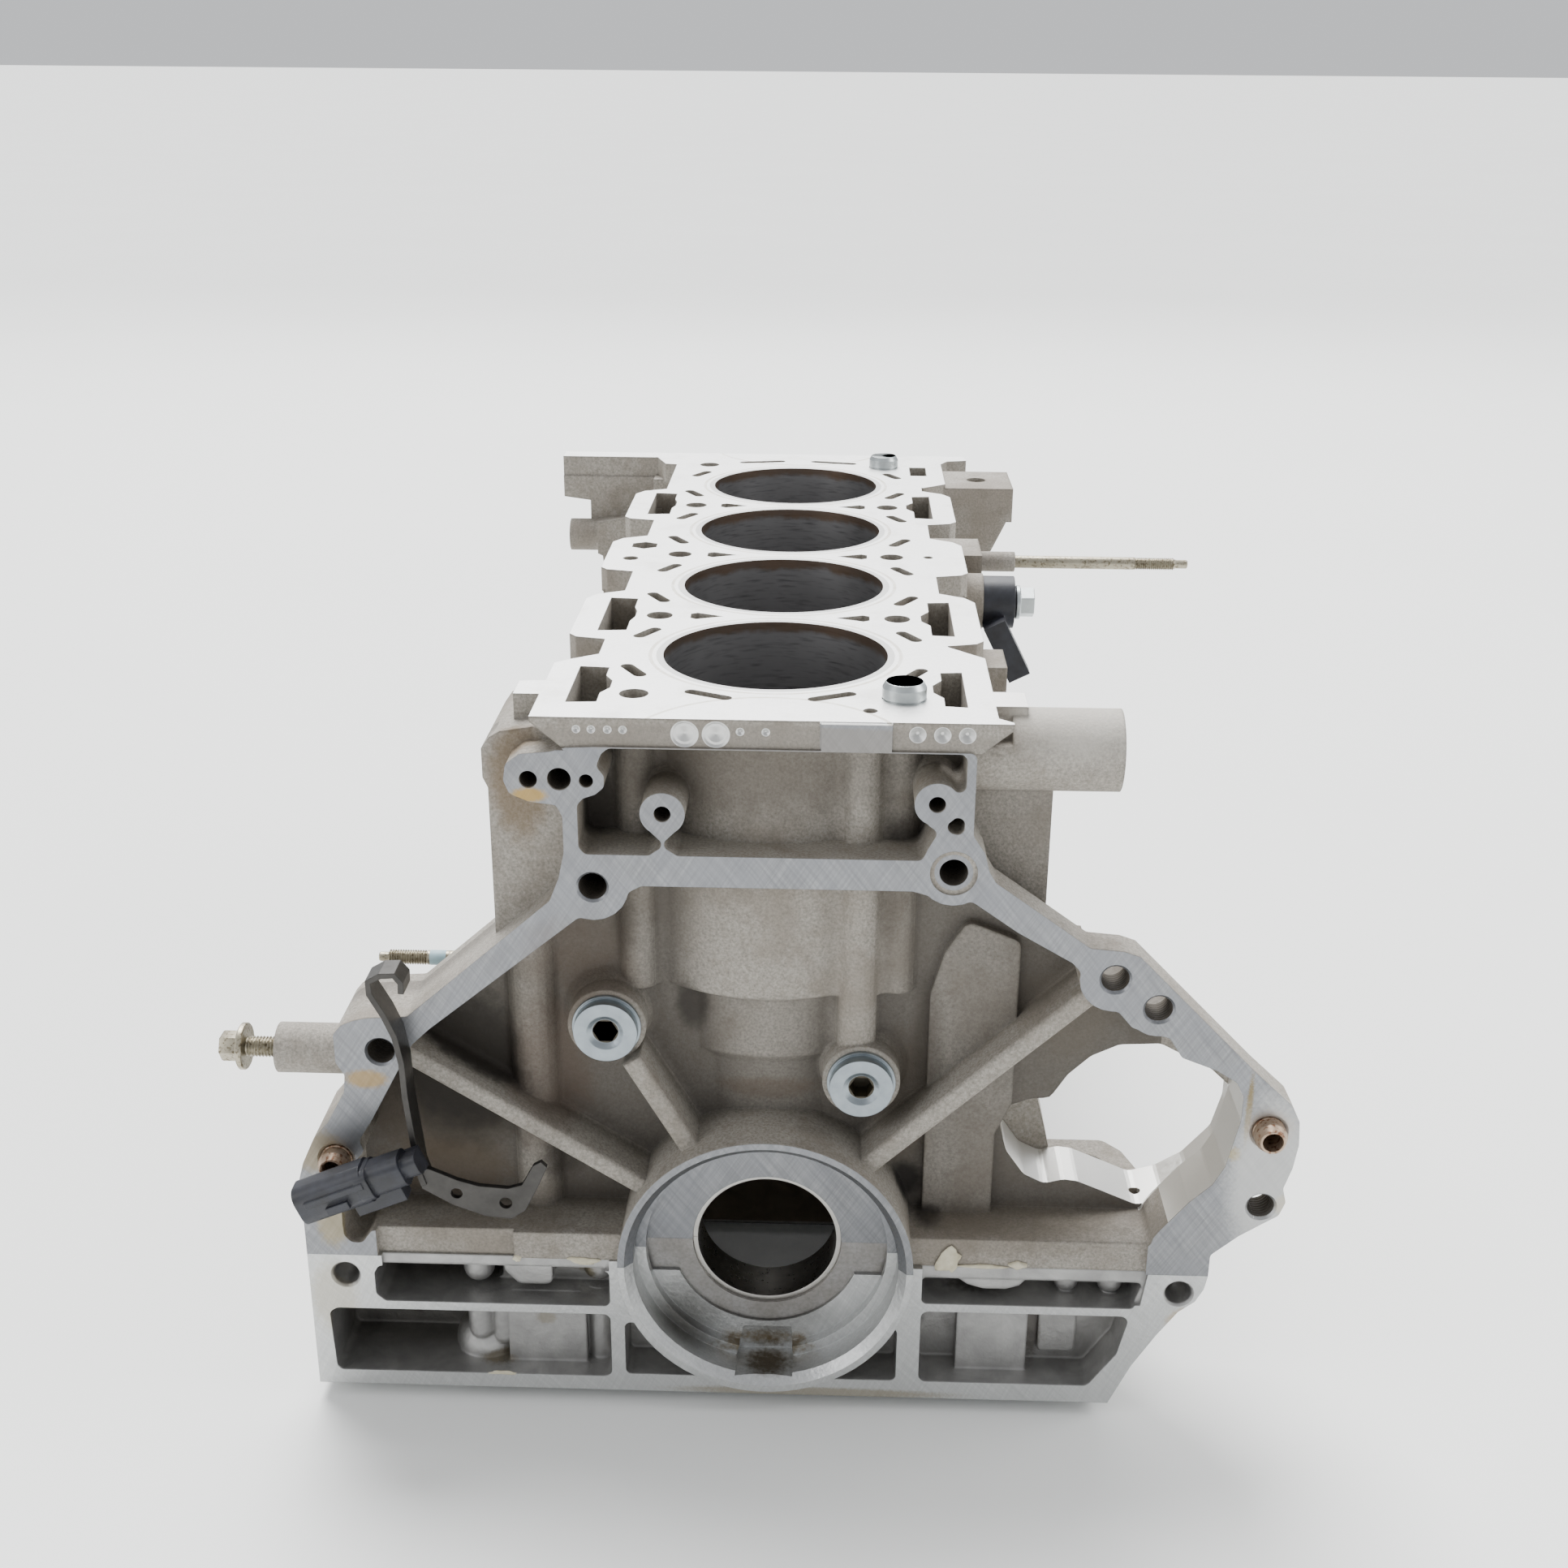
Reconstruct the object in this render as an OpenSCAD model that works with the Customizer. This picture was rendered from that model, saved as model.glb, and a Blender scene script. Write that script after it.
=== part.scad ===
// Aluminium four-cylinder engine block with its bedplate.
// The crank axis is the Y axis, the rear flange face is the plane y = 0,
// the deck face looks up (+Z) and the timing end lies at +Y.

/* [Cylinders and deck] */
// bore diameter of the liners
bore_d = 86; // [85:0.5:87]
// distance between neighbouring cylinder axes
bore_pitch = 100; // [99.5:0.5:100.5]
// crank axis to deck face
deck_h = 224; // [222:1:226]
// thickness of the closed deck plate
deck_t = 11; // [10:0.5:12]
// wall of the cast-in iron liners
liner_t = 2.6; // [2.2:0.1:3]
// length of the liners
liner_len = 136; // [130:1:140]
// width of the coolant space round the barrels
jacket_w = 6.5; // [5:0.5:7]
// diameter of the head bolt holes
head_bolt_d = 10.6; // [10:0.1:11]

/* [Crankcase] */
// height of the bedplate under the parting face
bed_h = 61.5; // [58:0.5:65]
// diameter of the main bearing housings
main_bore_d = 59; // [58:0.5:60]
// wall of the main bearing shells
shell_t = 2; // [1.8:0.1:2.4]
// width of the main bearing shells
shell_w = 19; // [17:0.5:20]
// width of the bearing bulkheads
bulkhead_w = 22; // [21:0.5:24]
// diameter of the main bearing bolts
main_bolt_d = 10; // [9:0.5:11]
// diameter of the rear oil seal bore
seal_bore_d = 103; // [100:0.5:104]
// outside diameter of the seal ring boss
seal_ring_d = 114.6; // [113:0.2:116]

/* [Rear flange] */
// depth of the flange rim
rim_depth = 35; // [33:1:38]
// depth of the pockets behind the flange face
pocket_depth = 26; // [24:0.5:27]
// diameter of the gearbox bolt holes
box_bolt_d = 10.2; // [9.5:0.1:11]
// outside diameter of the locating sleeves in the flange
flange_dowel_d = 12; // [11.5:0.1:12.5]
// outside diameter of the locating sleeves in the deck
deck_dowel_d = 16; // [15:0.1:16.5]

/* [Fits] */
// gap round parts cast in, pressed in or screwed in
press_gap = 0.03; // [0.02:0.01:0.06]
// gap round bolts in clearance holes
bolt_gap = 0.4; // [0.3:0.1:0.6]

/* [Hidden] */
$fn = 48;
bore_r = bore_d / 2;
liner_r = bore_r + liner_t;
barrel_r = 50.4;
jacket_r = barrel_r + jacket_w;
jacket_bottom = 104;
first_bore_y = 77.5;
function bore_y(i) = first_bore_y + i * bore_pitch;
function mid_y(i) = first_bore_y + (i + 0.5) * bore_pitch;
front_y = bore_y(3) + 81.5;
plate_y = front_y - 14;
deck_under = deck_h - deck_t;
main_r = main_bore_d / 2;
rear_main_y = 16.2 + bulkhead_w / 2;
front_main_y = front_y - 20 - bulkhead_w / 2;
function main_y(i) = i == 0 ? rear_main_y : i == 4 ? front_main_y : mid_y(i - 1);
cap_r = 37.5;
cap_ear_x = 47.5;
cap_ear_z = 14;
main_bolt_x = 40;
head_bolt_x = bore_pitch / 2 - 1.5;
main_bolt_r = main_bolt_d / 2;
main_bolt_top = 32;
bed_bolt_x = 95;
main_seat = bed_h - 18;
bed_seat = bed_h - 41;
sensor_z = deck_h - 21;
stud_z = deck_h - 13.5;
ring_r = seal_ring_d / 2;
seal_r = seal_bore_d / 2;
face_bore_r = 47.5;
bay_x = 88;
bay_top = 88;
rail_top = 11.6;
starter_depth = pocket_depth + 24;
thin_rim = 14;
plug_l = [-60.5, 97.4];
plug_r = [35.6, 75.8];
plug_face_y = 12;

casting = [0.66, 0.64, 0.60];
clean_alu = [0.78, 0.78, 0.79];
iron = [0.36, 0.35, 0.34];
zinc = [0.72, 0.73, 0.72];
plastic = [0.09, 0.09, 0.11];

// helpers

// extrudes a drawing in x and z between two stations on the crank axis
module ext_y(y0, y1)
  translate([0, y1, 0])
  rotate([90, 0, 0])
  linear_extrude(y1 - y0)
  children();

module cyl_y(x, z, r, y0, y1)
  translate([x, y1, z])
  rotate([90, 0, 0])
  cylinder(r = r, h = y1 - y0);

module cone_y(x, z, r0, r1, y0, y1)
  translate([x, y0, z])
  rotate([-90, 0, 0])
  cylinder(r1 = r0, r2 = r1, h = y1 - y0);

module cyl_x(y, z, r, x0, x1)
  translate([x0, y, z])
  rotate([0, 90, 0])
  cylinder(r = r, h = x1 - x0);

module box(x0, x1, y0, y1, z0, z1)
  translate([x0, y0, z0])
  cube([x1 - x0, y1 - y0, z1 - z0]);

module disc(x, z, r)
  translate([x, z])
  circle(r = r);

module bar(x0, z0, x1, z1, w)
  translate([x0, z0])
  rotate(atan2(z1 - z0, x1 - x0))
  translate([0, -w / 2])
  square([norm([x1 - x0, z1 - z0]), w]);

// rounds the outer and the inner corners of a drawing
module rounded(r)
  offset(r = r, $fn = 20)
  offset(delta = -2 * r)
  offset(delta = r)
  offset(r = -r, $fn = 20)
  offset(delta = r)
  children();

// rear flange drawings (x, z)

module flange_outline()
  rounded(2.5)
  polygon([
    [-179.3, -12], [-179.3, 34.3], [-177.3, 41.4], [-172.3, 52.4], [-166.3, 59.5], [-159, 73],
    [-158.2, 80.6], [-161.2, 85.7], [-161.2, 97.7], [-158, 101.5], [-153.2, 103.6], [-148.1, 104.8],
    [-133, 105.8], [-78.2, 154.1], [-74.6, 163.2], [-72.4, 173.2], [-72.4, 187], [-74.5, 191.4],
    [-83.7, 192.4], [-90.8, 195.4], [-92.8, 200.4], [-91.8, 206.5], [-86.7, 210.4], [-76, 211.4],
    [-70.5, 213], [-60, deck_under + 0.5], [72.6, deck_under + 0.5], [72.6, 182.5], [77, 176],
    [78.8, 169], [81.4, 164.6], [116.6, 139.5], [128.7, 138.5], [134.7, 136.5],
    [181, 89.7], [195.1, 76.6], [198.7, 69.6], [199.5, 59.5], [198.2, 49.4], [195.6, 40.4],
    [197.2, 34.3], [195.1, 28.3], [189.1, 24.3], [181, 18.7], [171, 9.7], [171, -12]]);

// flange outline drawn in by g, right of the cylinders
module right_housing(g)
  intersection() {
    offset(delta = -g) flange_outline();
    translate([66, -10]) square([150, 180]);
  }

// pocket between the cross beam and the deck plate
module upper_pocket() {
  rounded(2.5)
  difference() {
    polygon([
      [-65, 172.7], [-67.1, 175.5], [-67.1, 191.5], [-65, 194], [-60.5, 195.6], [-57.4, 198.4],
      [-57.2, 202.6], [-60, 206.2], [-58, 211], [-55.5, deck_under], [68, deck_under],
      [69.4, 211], [69.4, 182], [64, 172.7]]);
    disc(-37.1, 188.6, 8);
    polygon([[-43.6, 184], [-37.8, 178.2], [-36.4, 178.2], [-30.6, 184]]);
    polygon([[-43, 172], [-38.5, 175.2], [-35.7, 175.2], [-31, 172]]);
    disc(59.5, 194.1, 8);
    polygon([[54, 189], [60, 183], [55, 174], [66, 172], [70, 182], [64.5, 183.5], [63, 187]]);
    disc(66.3, 168, 12.6);
  }
}

// pocket below the cross beam, open down to the rail over the parting face
module lower_pocket() {
  rounded(3)
  difference() {
    polygon([
      [-153, rail_top], [-157, 5.8], [-161.5, 6], [-164, 9], [-164.2, 14], [-163.7, 35.3], [-153.2, 47.4],
      [-154.9, 52], [-149.1, 61.5], [-140.1, 78.6], [-132, 94], [-125, 100.8], [-68.1, 147.6],
      [-58, 150], [-50, 158], [-45, 160.7], [52, 160.7], [58, 159], [73.3, 157.1], [90.4, 145.1],
      [110.5, 133.5], [113.6, 130], [115.6, 122.9], [119.6, 117.9], [127.7, 114.9], [133.7, 107.8],
      [140.8, 105.3], [147.8, 103.8], [152.9, 95.7], [165.9, 90.7], [174, 85.7], [177, 79.6],
      [177, 69.6], [173, 49.4], [169, 41.4], [160.9, 33.3], [150.8, 20.2], [148.3, 16.2],
      [148.3, rail_top + 1]]);
    disc(-62.6, 159.9, 13);
    disc(66.3, 168, 12.6);
    disc(126.4, 127.2, 13);
    disc(143, 115.4, 11);
  }
}

// opening for the starter motor
module starter_opening()
  rounded(5)
  polygon([
    [134.3, 86.2], [150, 87], [158.5, 82.5], [170, 76.5], [178, 69], [181, 60], [181, 51.6], [177.4, 37],
    [166.9, 24.2], [156.4, 17.5], [145.9, 14.4], [132.7, 20.1], [122, 24.6], [116.5, 25.3],
    [109.1, 23.2], [100.7, 27.4], [93.4, 37.9], [90.2, 49.5], [92.3, 57.9], [101.8, 61.6],
    [109.1, 62.1], [115.4, 72.6], [123.8, 81]]);

// deck drawing (x, y)

module deck_plan() {
  polygon([
    [-83, 1], [-83, 25.5], [-92.5, 25.5], [-92.5, 40], [-83, 41.5], [-83, 62], [-79, 66],
    [-67.5, 74], [-67.5, plate_y], [-68, front_y], [67, front_y], [66.5, 90], [76, 80],
    [80, 76], [80, 36], [91.5, 36], [91.5, 20], [80, 20], [80, 7], [85, 3], [85, 1]]);
  for (i = [0:2])
    translate([0, mid_y(i)]) {
      bulge_plan(-1, i == 1 ? 28.5 : 31, 82.5);
      bulge_plan(1, i == 1 ? 30 : 33, 81);
    }
  polygon([[-60, front_y - 33], [-74, front_y - 30], [-80, plate_y + 1], [-134, plate_y + 1],
    [-134, front_y], [95, front_y], [95, plate_y + 3], [84, plate_y], [80, front_y - 22],
    [80, front_y - 74], [68, front_y - 84], [60, front_y - 84]]);
}

module bulge_plan(s, w, x)
  polygon([[60 * s, -w - 5], [67 * s, -w - 3], [x * s - 3 * s, -w], [x * s, -w + 4],
    [x * s, w - 7], [x * s - 4 * s, w], [67 * s, w + 6], [60 * s, w + 8]]);

// oil drain passage seen from above, with the bumps round the head bolts
module drain_plan(s, x0, x1, y0, y1, bump)
  polygon([[x1 * s, y0], [x1 * s, y1], [x0 * s, y1 - 1], [x0 * s, (y0 + y1) / 2 + 10],
    [(x0 - bump) * s, (y0 + y1) / 2 + 4], [(x0 - bump) * s, (y0 + y1) / 2 - 4],
    [x0 * s, (y0 + y1) / 2 - 10], [x0 * s, y0 + 1]]);

// slot to the coolant space, rounded at both ends
module water_slot(x, y, a, l, w)
  translate([x, y])
  rotate(a) {
    square([l - w, w], center = true);
    translate([(l - w) / 2, 0]) circle(r = w / 2);
    translate([-(l - w) / 2, 0]) circle(r = w / 2);
  }

// coolant openings of one cylinder
module cylinder_water()
  for (s = [-1, 1]) {
    water_slot(52.2 * s, -23, 60 * s, 16.5, 5);
    water_slot(51.8 * s, 25.5, -60 * s, 15.5, 5);
  }

// three-cornered coolant opening between two barrels
module web_water(s)
  polygon([[23 * s, 0], [34 * s, -4.6], [36.5 * s, -3], [36.5 * s, 3], [34 * s, 4.6]]);

// sections (x, z) along the crank axis

module crankcase_section()
  polygon([[-98, -1], [-98, 62], [-74, 98], [-67.5, 108], [-67.5, deck_under + 1],
    [66.5, deck_under + 1], [66.5, 108], [74, 98], [98, 62], [98, -1]]);

module bay_section()
  polygon([[-bay_x, -2], [-bay_x, 58], [-64, bay_top], [64, bay_top], [bay_x, 58], [bay_x, -2]]);

module front_outline()
  polygon([[-134, deck_under], [-134, 201], [-119, 199], [-119, 186], [-114, 176], [-108, 120], [-116, 60],
    [-116, -1], [112, -1], [112, 70], [104, 120], [104, 176], [95, 196], [95, deck_under]]);

// the casting

module block_solids() {
  // rear flange with a deep rim on the left and a thin one on the right
  ext_y(0, thin_rim) flange_outline();
  ext_y(0, rim_depth)
    intersection() {
      flange_outline();
      translate([-200, -10]) square([276, 260]);
    }
  ext_y(thin_rim - 1, rim_depth) right_housing(7.5);
  // crankcase and cylinder housing
  ext_y(pocket_depth, plate_y + 1) crankcase_section();
  // rails over the parting face
  box(-104, 104, pocket_depth, plate_y + 1, -1, rail_top);
  // deck plate
  translate([0, 0, deck_under]) linear_extrude(deck_t) deck_plan();
  // machined pad at the rear of the deck
  box(18.5, 43, 0, 12, deck_under, deck_h - 0.4);
  // drain columns on both sides
  for (i = [0:2]) {
    box(-81.5, -60, mid_y(i) - 27, mid_y(i) + 26, 84, deck_under + 1);
    box(60, 80, mid_y(i) - 29, mid_y(i) + 28, 84, deck_under + 1);
  }
  box(-81.5, -60, plate_y - 12, plate_y + 1, 84, deck_under + 1);
  box(60, 79, plate_y - 62, plate_y + 1, 84, deck_under + 1);
  // shoulders at the rear end
  ext_y(14, 66)
    polygon([[-101, 96], [-101, 192], [-102.8, 196], [-102.8, 207], [-100, 211], [-96, 213.5], [-84, 215.5],
      [-60, deck_under + 1], [-60, 96]]);
  ext_y(20, 62)
    polygon([[60, 96], [60, deck_under + 1], [79, deck_under + 1], [84, 204], [102, 199],
      [102, 104], [94, 96]]);
  // timing flange
  ext_y(plate_y, front_y) front_outline();
  // mount boss across the right shoulder
  cyl_x(25, 206.5, 15, 62, 125.5);
  // mount boss at the right front corner
  box(70, 116.5, 384, 428, 204, 222);
  ext_y(384, 428) polygon([[70, 205], [114, 205], [106, 188], [70, 170]]);
  // boss at the left front corner
  cyl_x(plate_y - 4, 180, 9, -130, -100);
  ext_y(plate_y - 13, plate_y + 1)
    polygon([[-114, 171], [-114, 189], [-70, 196], [-70, 150]]);
  // pads on the right wall
  box(78, 91.5, 105, 130, deck_h - 32, deck_h - 13);
  box(60, 91, 250, 283, deck_h - 29, deck_h - 4.5);
  cyl_x(230, sensor_z, 13, 78, 90);
  // boss of the side bolt at the left rear
  cyl_x(14, 84, 9.6, -186, -158);
  // starter mounting
  ext_y(pocket_depth, starter_depth)
    intersection() {
      right_housing(9);
      polygon([[84, 8], [84, 92], [120, 100], [190, 100], [199, 60], [190, 20], [170, 4]]);
    }
  // flare of the crankcase wall and lug of the rail behind the starter opening
  ext_y(starter_depth - 3, 77)
    polygon([[90, -1], [116, -1], [115.5, 14], [111, 34], [104, 60], [90, 74]]);
  translate([0, 0, -1])
  linear_extrude(rail_top + 1)
  rounded(4) polygon([[97, starter_depth - 3], [97, 77], [139, 77], [146, 69], [151, 54], [151, starter_depth - 3]]);
}

// drawing (x, y) of upright forms on the rear wall, with hollow corners against the wall
module rear_plan()
  intersection() {
    offset(r = -4, $fn = 20)
    offset(delta = 4) {
      translate([-104, pocket_depth + 0.3]) square([204, 1.2]);
      children();
    }
    translate([-102, 4]) square([200, pocket_depth - 2.8]);
  }

// level of the rear wall between two heights
module rear_level(z0, z1)
  translate([0, 0, z0])
  linear_extrude(z1 - z0)
  rear_plan()
  children();

module barrel_round(r)
  translate([0, first_bore_y]) circle(r = r, $fn = 120);

module left_column() disc(-90.6, 29, 10);

module gallery_round() disc(33.5, 20.5, 7.4);

module head_columns()
  for (s = [-1, 1])
    disc(head_bolt_x * s - 0.7, mid_y(-1), head_bolt_d / 2 + 2.2);

// section (y, z) of a rib with a rounded crest and hollow feet
module rib_section(w, y0)
  offset(r = -3, $fn = 20)
  offset(delta = 3) {
    offset(r = 1.8, $fn = 20) offset(delta = -1.8) translate([y0, -w / 2]) square([pocket_depth + 1 - y0, w]);
    translate([pocket_depth + 0.3, -w]) square([1, 2 * w]);
  }

module rib(x0, z0, x1, z1, w)
  translate([x0, 0, z0])
  rotate([0, -atan2(z1 - z0, x1 - x0), 0])
  rotate([90, 0, 90])
  linear_extrude(norm([x1 - x0, z1 - z0]))
  rib_section(w, 5);

// round boss with a hollow foot on the rear wall
module wall_boss(x, z, r, y0) {
  cyl_y(x, z, r, y0, pocket_depth + 1);
  cone_y(x, z, r - 0.1, r + 1.4, pocket_depth - 5, pocket_depth - 1.9);
  cone_y(x, z, r + 1.2, r + 4.5, pocket_depth - 2, pocket_depth + 1);
}

module panel_drawing()
  rounded(4)
  polygon([[61, 4], [61, 108], [66, 126], [74, 139], [94, 131], [94, 62], [88, 48], [88, 4]]);

// forms standing on the rear wall inside the pockets
module wall_forms() {
  // coolant jacket, barrel, oil gallery and head bolt columns of the rear cylinder
  rear_level(109, deck_under + 1) {
    barrel_round(64.2);
    gallery_round();
    head_columns();
    left_column();
  }
  rear_level(81, 109) {
    barrel_round(58);
    gallery_round();
    left_column();
  }
  rear_level(40, 81) {
    barrel_round(55.4);
    left_column();
  }
  rear_level(rail_top - 3, 40) left_column();
  // slanting undersides of the jacket and the barrel
  translate([0, first_bore_y, 105]) cylinder(r1 = 57.6, r2 = 63.7, h = 4.4);
  translate([0, first_bore_y, 77.5]) cylinder(r1 = 55.2, r2 = 57.6, h = 3.8);
  // raised panel to the right
  ext_y(21.5, pocket_depth + 1) panel_drawing();
  // plug bosses
  wall_boss(plug_l[0], plug_l[1], 14.8, plug_face_y);
  wall_boss(plug_r[0], plug_r[1], 14.8, plug_face_y);
  // ribs towards the seal ring
  rib(-136, 86.5, -42, 26.5, 7);
  rib(-51, 85.7, -27, 44, 7.5);
  rib(120, 118.5, 36, 39.5, 7.5);
  // bosses of the upper pocket
  wall_boss(-37.1, 188.6, 8, 0);
  wall_boss(59.5, 194.1, 8, 0);
  ext_y(0, pocket_depth + 1) polygon([[-43.6, 184], [-37.8, 178.2], [-36.4, 178.2], [-30.6, 184]]);
}

// drilled marks in the rear edge of the deck plate
strip_marks = [[-66.6, 1.3], [-61.4, 1.3], [-55.7, 1.3], [-50.4, 1.3], [-9.6, 1.3], [-0.7, 1.3],
  [51.8, 2.8], [60.4, 2.8], [69, 2.8]];

module deck_strip_marks() {
  for (m = strip_marks)
    cone_y(m[0], deck_h - 4.4, m[1], m[1] * 0.2, 0.99, 1 + m[1] * 0.7);
  for (x = [-28.9, -18]) {
    cone_y(x, deck_h - 5.6, 4.7, 3.9, 0.99, 1.5);
    cone_y(x, deck_h - 5.6, 3, 0.4, 1.49, 2.6);
  }
}

module bore_positions()
  for (i = [0:3])
    translate([0, bore_y(i), 0])
    children();

module main_bearing_bore(y0, y1)
  cyl_y(0, 0, main_r, y0, y1);

module gearbox_holes() {
  for (p = [[-62.6, 159.9], [66.3, 168], [126.4, 127.2], [143, 115.4], [188.1, 32.1], [-143.9, 90.7]])
    cyl_y(p[0], p[1], box_bolt_d / 2, -1, rim_depth + 20);
  for (p = [[-62.6, 159.9], [126.4, 127.2], [143, 115.4], [188.1, 32.1], [-143.9, 90.7]])
    cone_y(p[0], p[1], box_bolt_d / 2 + 0.9, box_bolt_d / 2, -0.01, 0.9);
  cyl_y(66.3, 168, 8.5, -1, 0.8);
  // room for the bolt heads behind the thin rim
  for (p = [[126.4, 127.2], [143, 115.4], [188.1, 32.1]])
    cyl_y(p[0], p[1], 10, thin_rim, starter_depth + 5);
  for (p = [[-84, 200.9, 3.2], [-73.1, 201.2, 4.2], [-63.6, 200.7, 2.5], [-37.1, 188.6, 3], [59.5, 194.1, 3]])
    cyl_y(p[0], p[1], p[2], -1, 22);
  for (p = [[187.8, 65], [-164.2, 43.4]])
    cyl_y(p[0], p[1], flange_dowel_d / 2 + press_gap, -1, 14);
  for (p = [[187.8, 65], [-164.2, 43.4]])
    cone_y(p[0], p[1], flange_dowel_d / 2 + 1.3, flange_dowel_d / 2, -0.01, 1.2);
}

module jacket_plan()
  difference() {
    for (i = [0:3])
      translate([0, bore_y(i)]) circle(r = jacket_r);
    for (i = [0:3])
      translate([0, bore_y(i)]) circle(r = barrel_r);
  }

module deck_openings() {
  bore_positions() linear_extrude(20) cylinder_water();
  for (i = [0:2])
    translate([0, mid_y(i), 0]) linear_extrude(20) {
      web_water(-1);
      web_water(1);
    }
  linear_extrude(20) {
    water_slot(-22.5, 27.5, -26, 19, 4.8);
    water_slot(22, 27.8, 27, 19, 4.8);
    water_slot(-20, front_y - 22, 12, 26, 4.6);
    water_slot(20, front_y - 22, -12, 26, 4.6);
  }
}

module rear_drains() {
  drain_plan(-1, 61.5, 72.5, 17, 58.5, 3);
  drain_plan(1, 62, 70, 18, 58, 3.5);
}

module drains() {
  translate([0, 0, 60])
  linear_extrude(deck_h) {
    drain_plan(-1, 60.5, 72, 105, 153, 1.5);
    drain_plan(1, 61, 70, 104, 153, 3.5);
    drain_plan(-1, 61, 72, 306, 354, 1.5);
    drain_plan(1, 61, 70, 304, 354, 3.5);
  }
  // the rear pair keeps clear of the pockets below the deck plate
  translate([0, 0, deck_under])
  linear_extrude(deck_t + 1)
  rear_drains();
  translate([0, 0, 60])
  linear_extrude(deck_under - 59)
  intersection() {
    rear_drains();
    translate([-100, pocket_depth + 5]) square([200, 60]);
  }
}

module block_cuts() {
  // slanting lower corners of the deck plate's rear end
  ext_y(-1, 14) polygon([[-84, deck_h - 1], [-84, deck_under - 1], [-71, deck_under - 1]]);
  ext_y(-1, 20) polygon([[86, deck_h - 1.5], [86, deck_under - 1], [73, deck_under - 1]]);
  deck_strip_marks();
  // pockets in the rear face
  ext_y(-6, pocket_depth) {
    upper_pocket();
    lower_pocket();
  }
  // step in the rail beside the left lobe
  box(-151.5, -98, -1, 3, -2, rail_top + 1);
  box(-98.1, -50, -1, 0.8, -2, rail_top + 1);
  box(50, 147, -1, 2.4, -2, rail_top + 2);
  ext_y(pocket_depth - 1, starter_depth + 1) starter_opening();
  translate([131.6, 60, -2]) cylinder(r = 5.2, h = 20);
  translate([146.5, 35, 3]) cylinder(r = 2.3, h = 20);
  // cylinders
  bore_positions() {
    translate([0, 0, 60]) cylinder(r = liner_r + press_gap, h = deck_h);
  }
  // coolant space
  translate([0, 0, jacket_bottom]) linear_extrude(deck_under - jacket_bottom) jacket_plan();
  translate([0, 0, deck_under - 4]) deck_openings();
  drains();
}

module crank_cuts() {
  // crank bays between the bulkheads
  for (i = [0:3])
    ext_y(main_y(i) + bulkhead_w / 2, main_y(i + 1) - bulkhead_w / 2) bay_section();
  // crank line
  cyl_y(0, 0, main_r, -10, front_y + 10);
  cyl_y(0, 0, seal_r, -10, 10);
  cone_y(0, 0, seal_r + 3.2, seal_r, -4.01, -0.5);
  cyl_y(0, 0, face_bore_r, 9, rear_main_y - bulkhead_w / 2);
  cyl_y(0, 0, 44, front_main_y + bulkhead_w / 2, front_y + 1);
}

module threaded_holes() {
  for (i = [0:4], s = [-1, 1])
    translate([head_bolt_x * s - 0.7, mid_y(i - 1), 126]) cylinder(r = head_bolt_d / 2, h = deck_h);
  for (y = [mid_y(-1), mid_y(3)])
    translate([head_bolt_x - 0.7, y, deck_h - 9]) cylinder(r = deck_dowel_d / 2 + press_gap, h = 20);
  translate([35.5, 13, deck_h - 9]) cylinder(r = 2.6, h = 60);
  translate([-71, 219, 200]) cylinder(r = 3.5, h = 60);
  translate([64.5, 228, 200]) cylinder(r = 2.2, h = 60);
  translate([-67, 243, 150]) rotate(30) cylinder(r = 6.6, h = 90, $fn = 6);
  translate([66.5, front_y - 43, 150]) linear_extrude(90) square([9, 22], center = true);
  // main bearing bolts and bedplate bolts
  for (i = [0:4], s = [-1, 1])
    translate([main_bolt_x * s, main_y(i), -2]) cylinder(r = main_bolt_r + press_gap, h = main_bolt_top + 4);
  for (i = [0:4], s = [-1, 1])
    translate([bed_bolt_x * s, bed_bolt_y(i), -2]) cylinder(r = 4 + press_gap, h = 30);
  // gallery plugs
  for (p = [plug_l, plug_r])
    cyl_y(p[0], p[1], 8 + press_gap, plug_face_y - 1, plug_face_y + 16);
  // side holes
  cyl_x(14, 84, 4 + press_gap, -190, -168);
  cyl_x(58, 101, 3 + press_gap, -110, -86);
  cyl_x(275, stud_z, 3 + press_gap, 79, 95);
  cyl_x(230, sensor_z, 4 + press_gap, 78, 95);
  cyl_x(25, 206.5, 5, 100, 130);
  translate([98, 406, 190]) cylinder(r = 5.2, h = 40);
  cyl_x(plate_y - 4, 180, 3.4, -135, -112);
  // timing face
  for (p = [[-126, 212], [86, 212], [-106, 150], [-108, 90], [-108, 30], [104, 30], [98, 90], [96, 150]])
    cyl_y(p[0], p[1], 3.4, front_y - 10, front_y + 1);
}

function bed_bolt_y(i) = i == 0 ? 62 : mid_y(i - 1) + (i == 4 ? -22 : 0);

module cylinder_block()
  color(casting)
  difference() {
    union() {
      difference() {
        block_solids();
        block_cuts();
      }
      intersection() {
        difference() {
          wall_forms();
          ext_y(-1, 60) starter_opening();
          bore_positions() translate([0, 0, 30]) cylinder(r = liner_r + press_gap, h = deck_h);
          translate([0, 0, jacket_bottom]) linear_extrude(deck_under - jacket_bottom) jacket_plan();
        }
        ext_y(-1, 60) flange_outline();
      }
      cyl_y(0, 0, ring_r, -4, pocket_depth + 1);
    }
    crank_cuts();
    gearbox_holes();
    threaded_holes();
    ext_y(-20, front_y + 20) translate([-300, -300]) square([600, 300]);
  }

// bedplate

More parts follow.
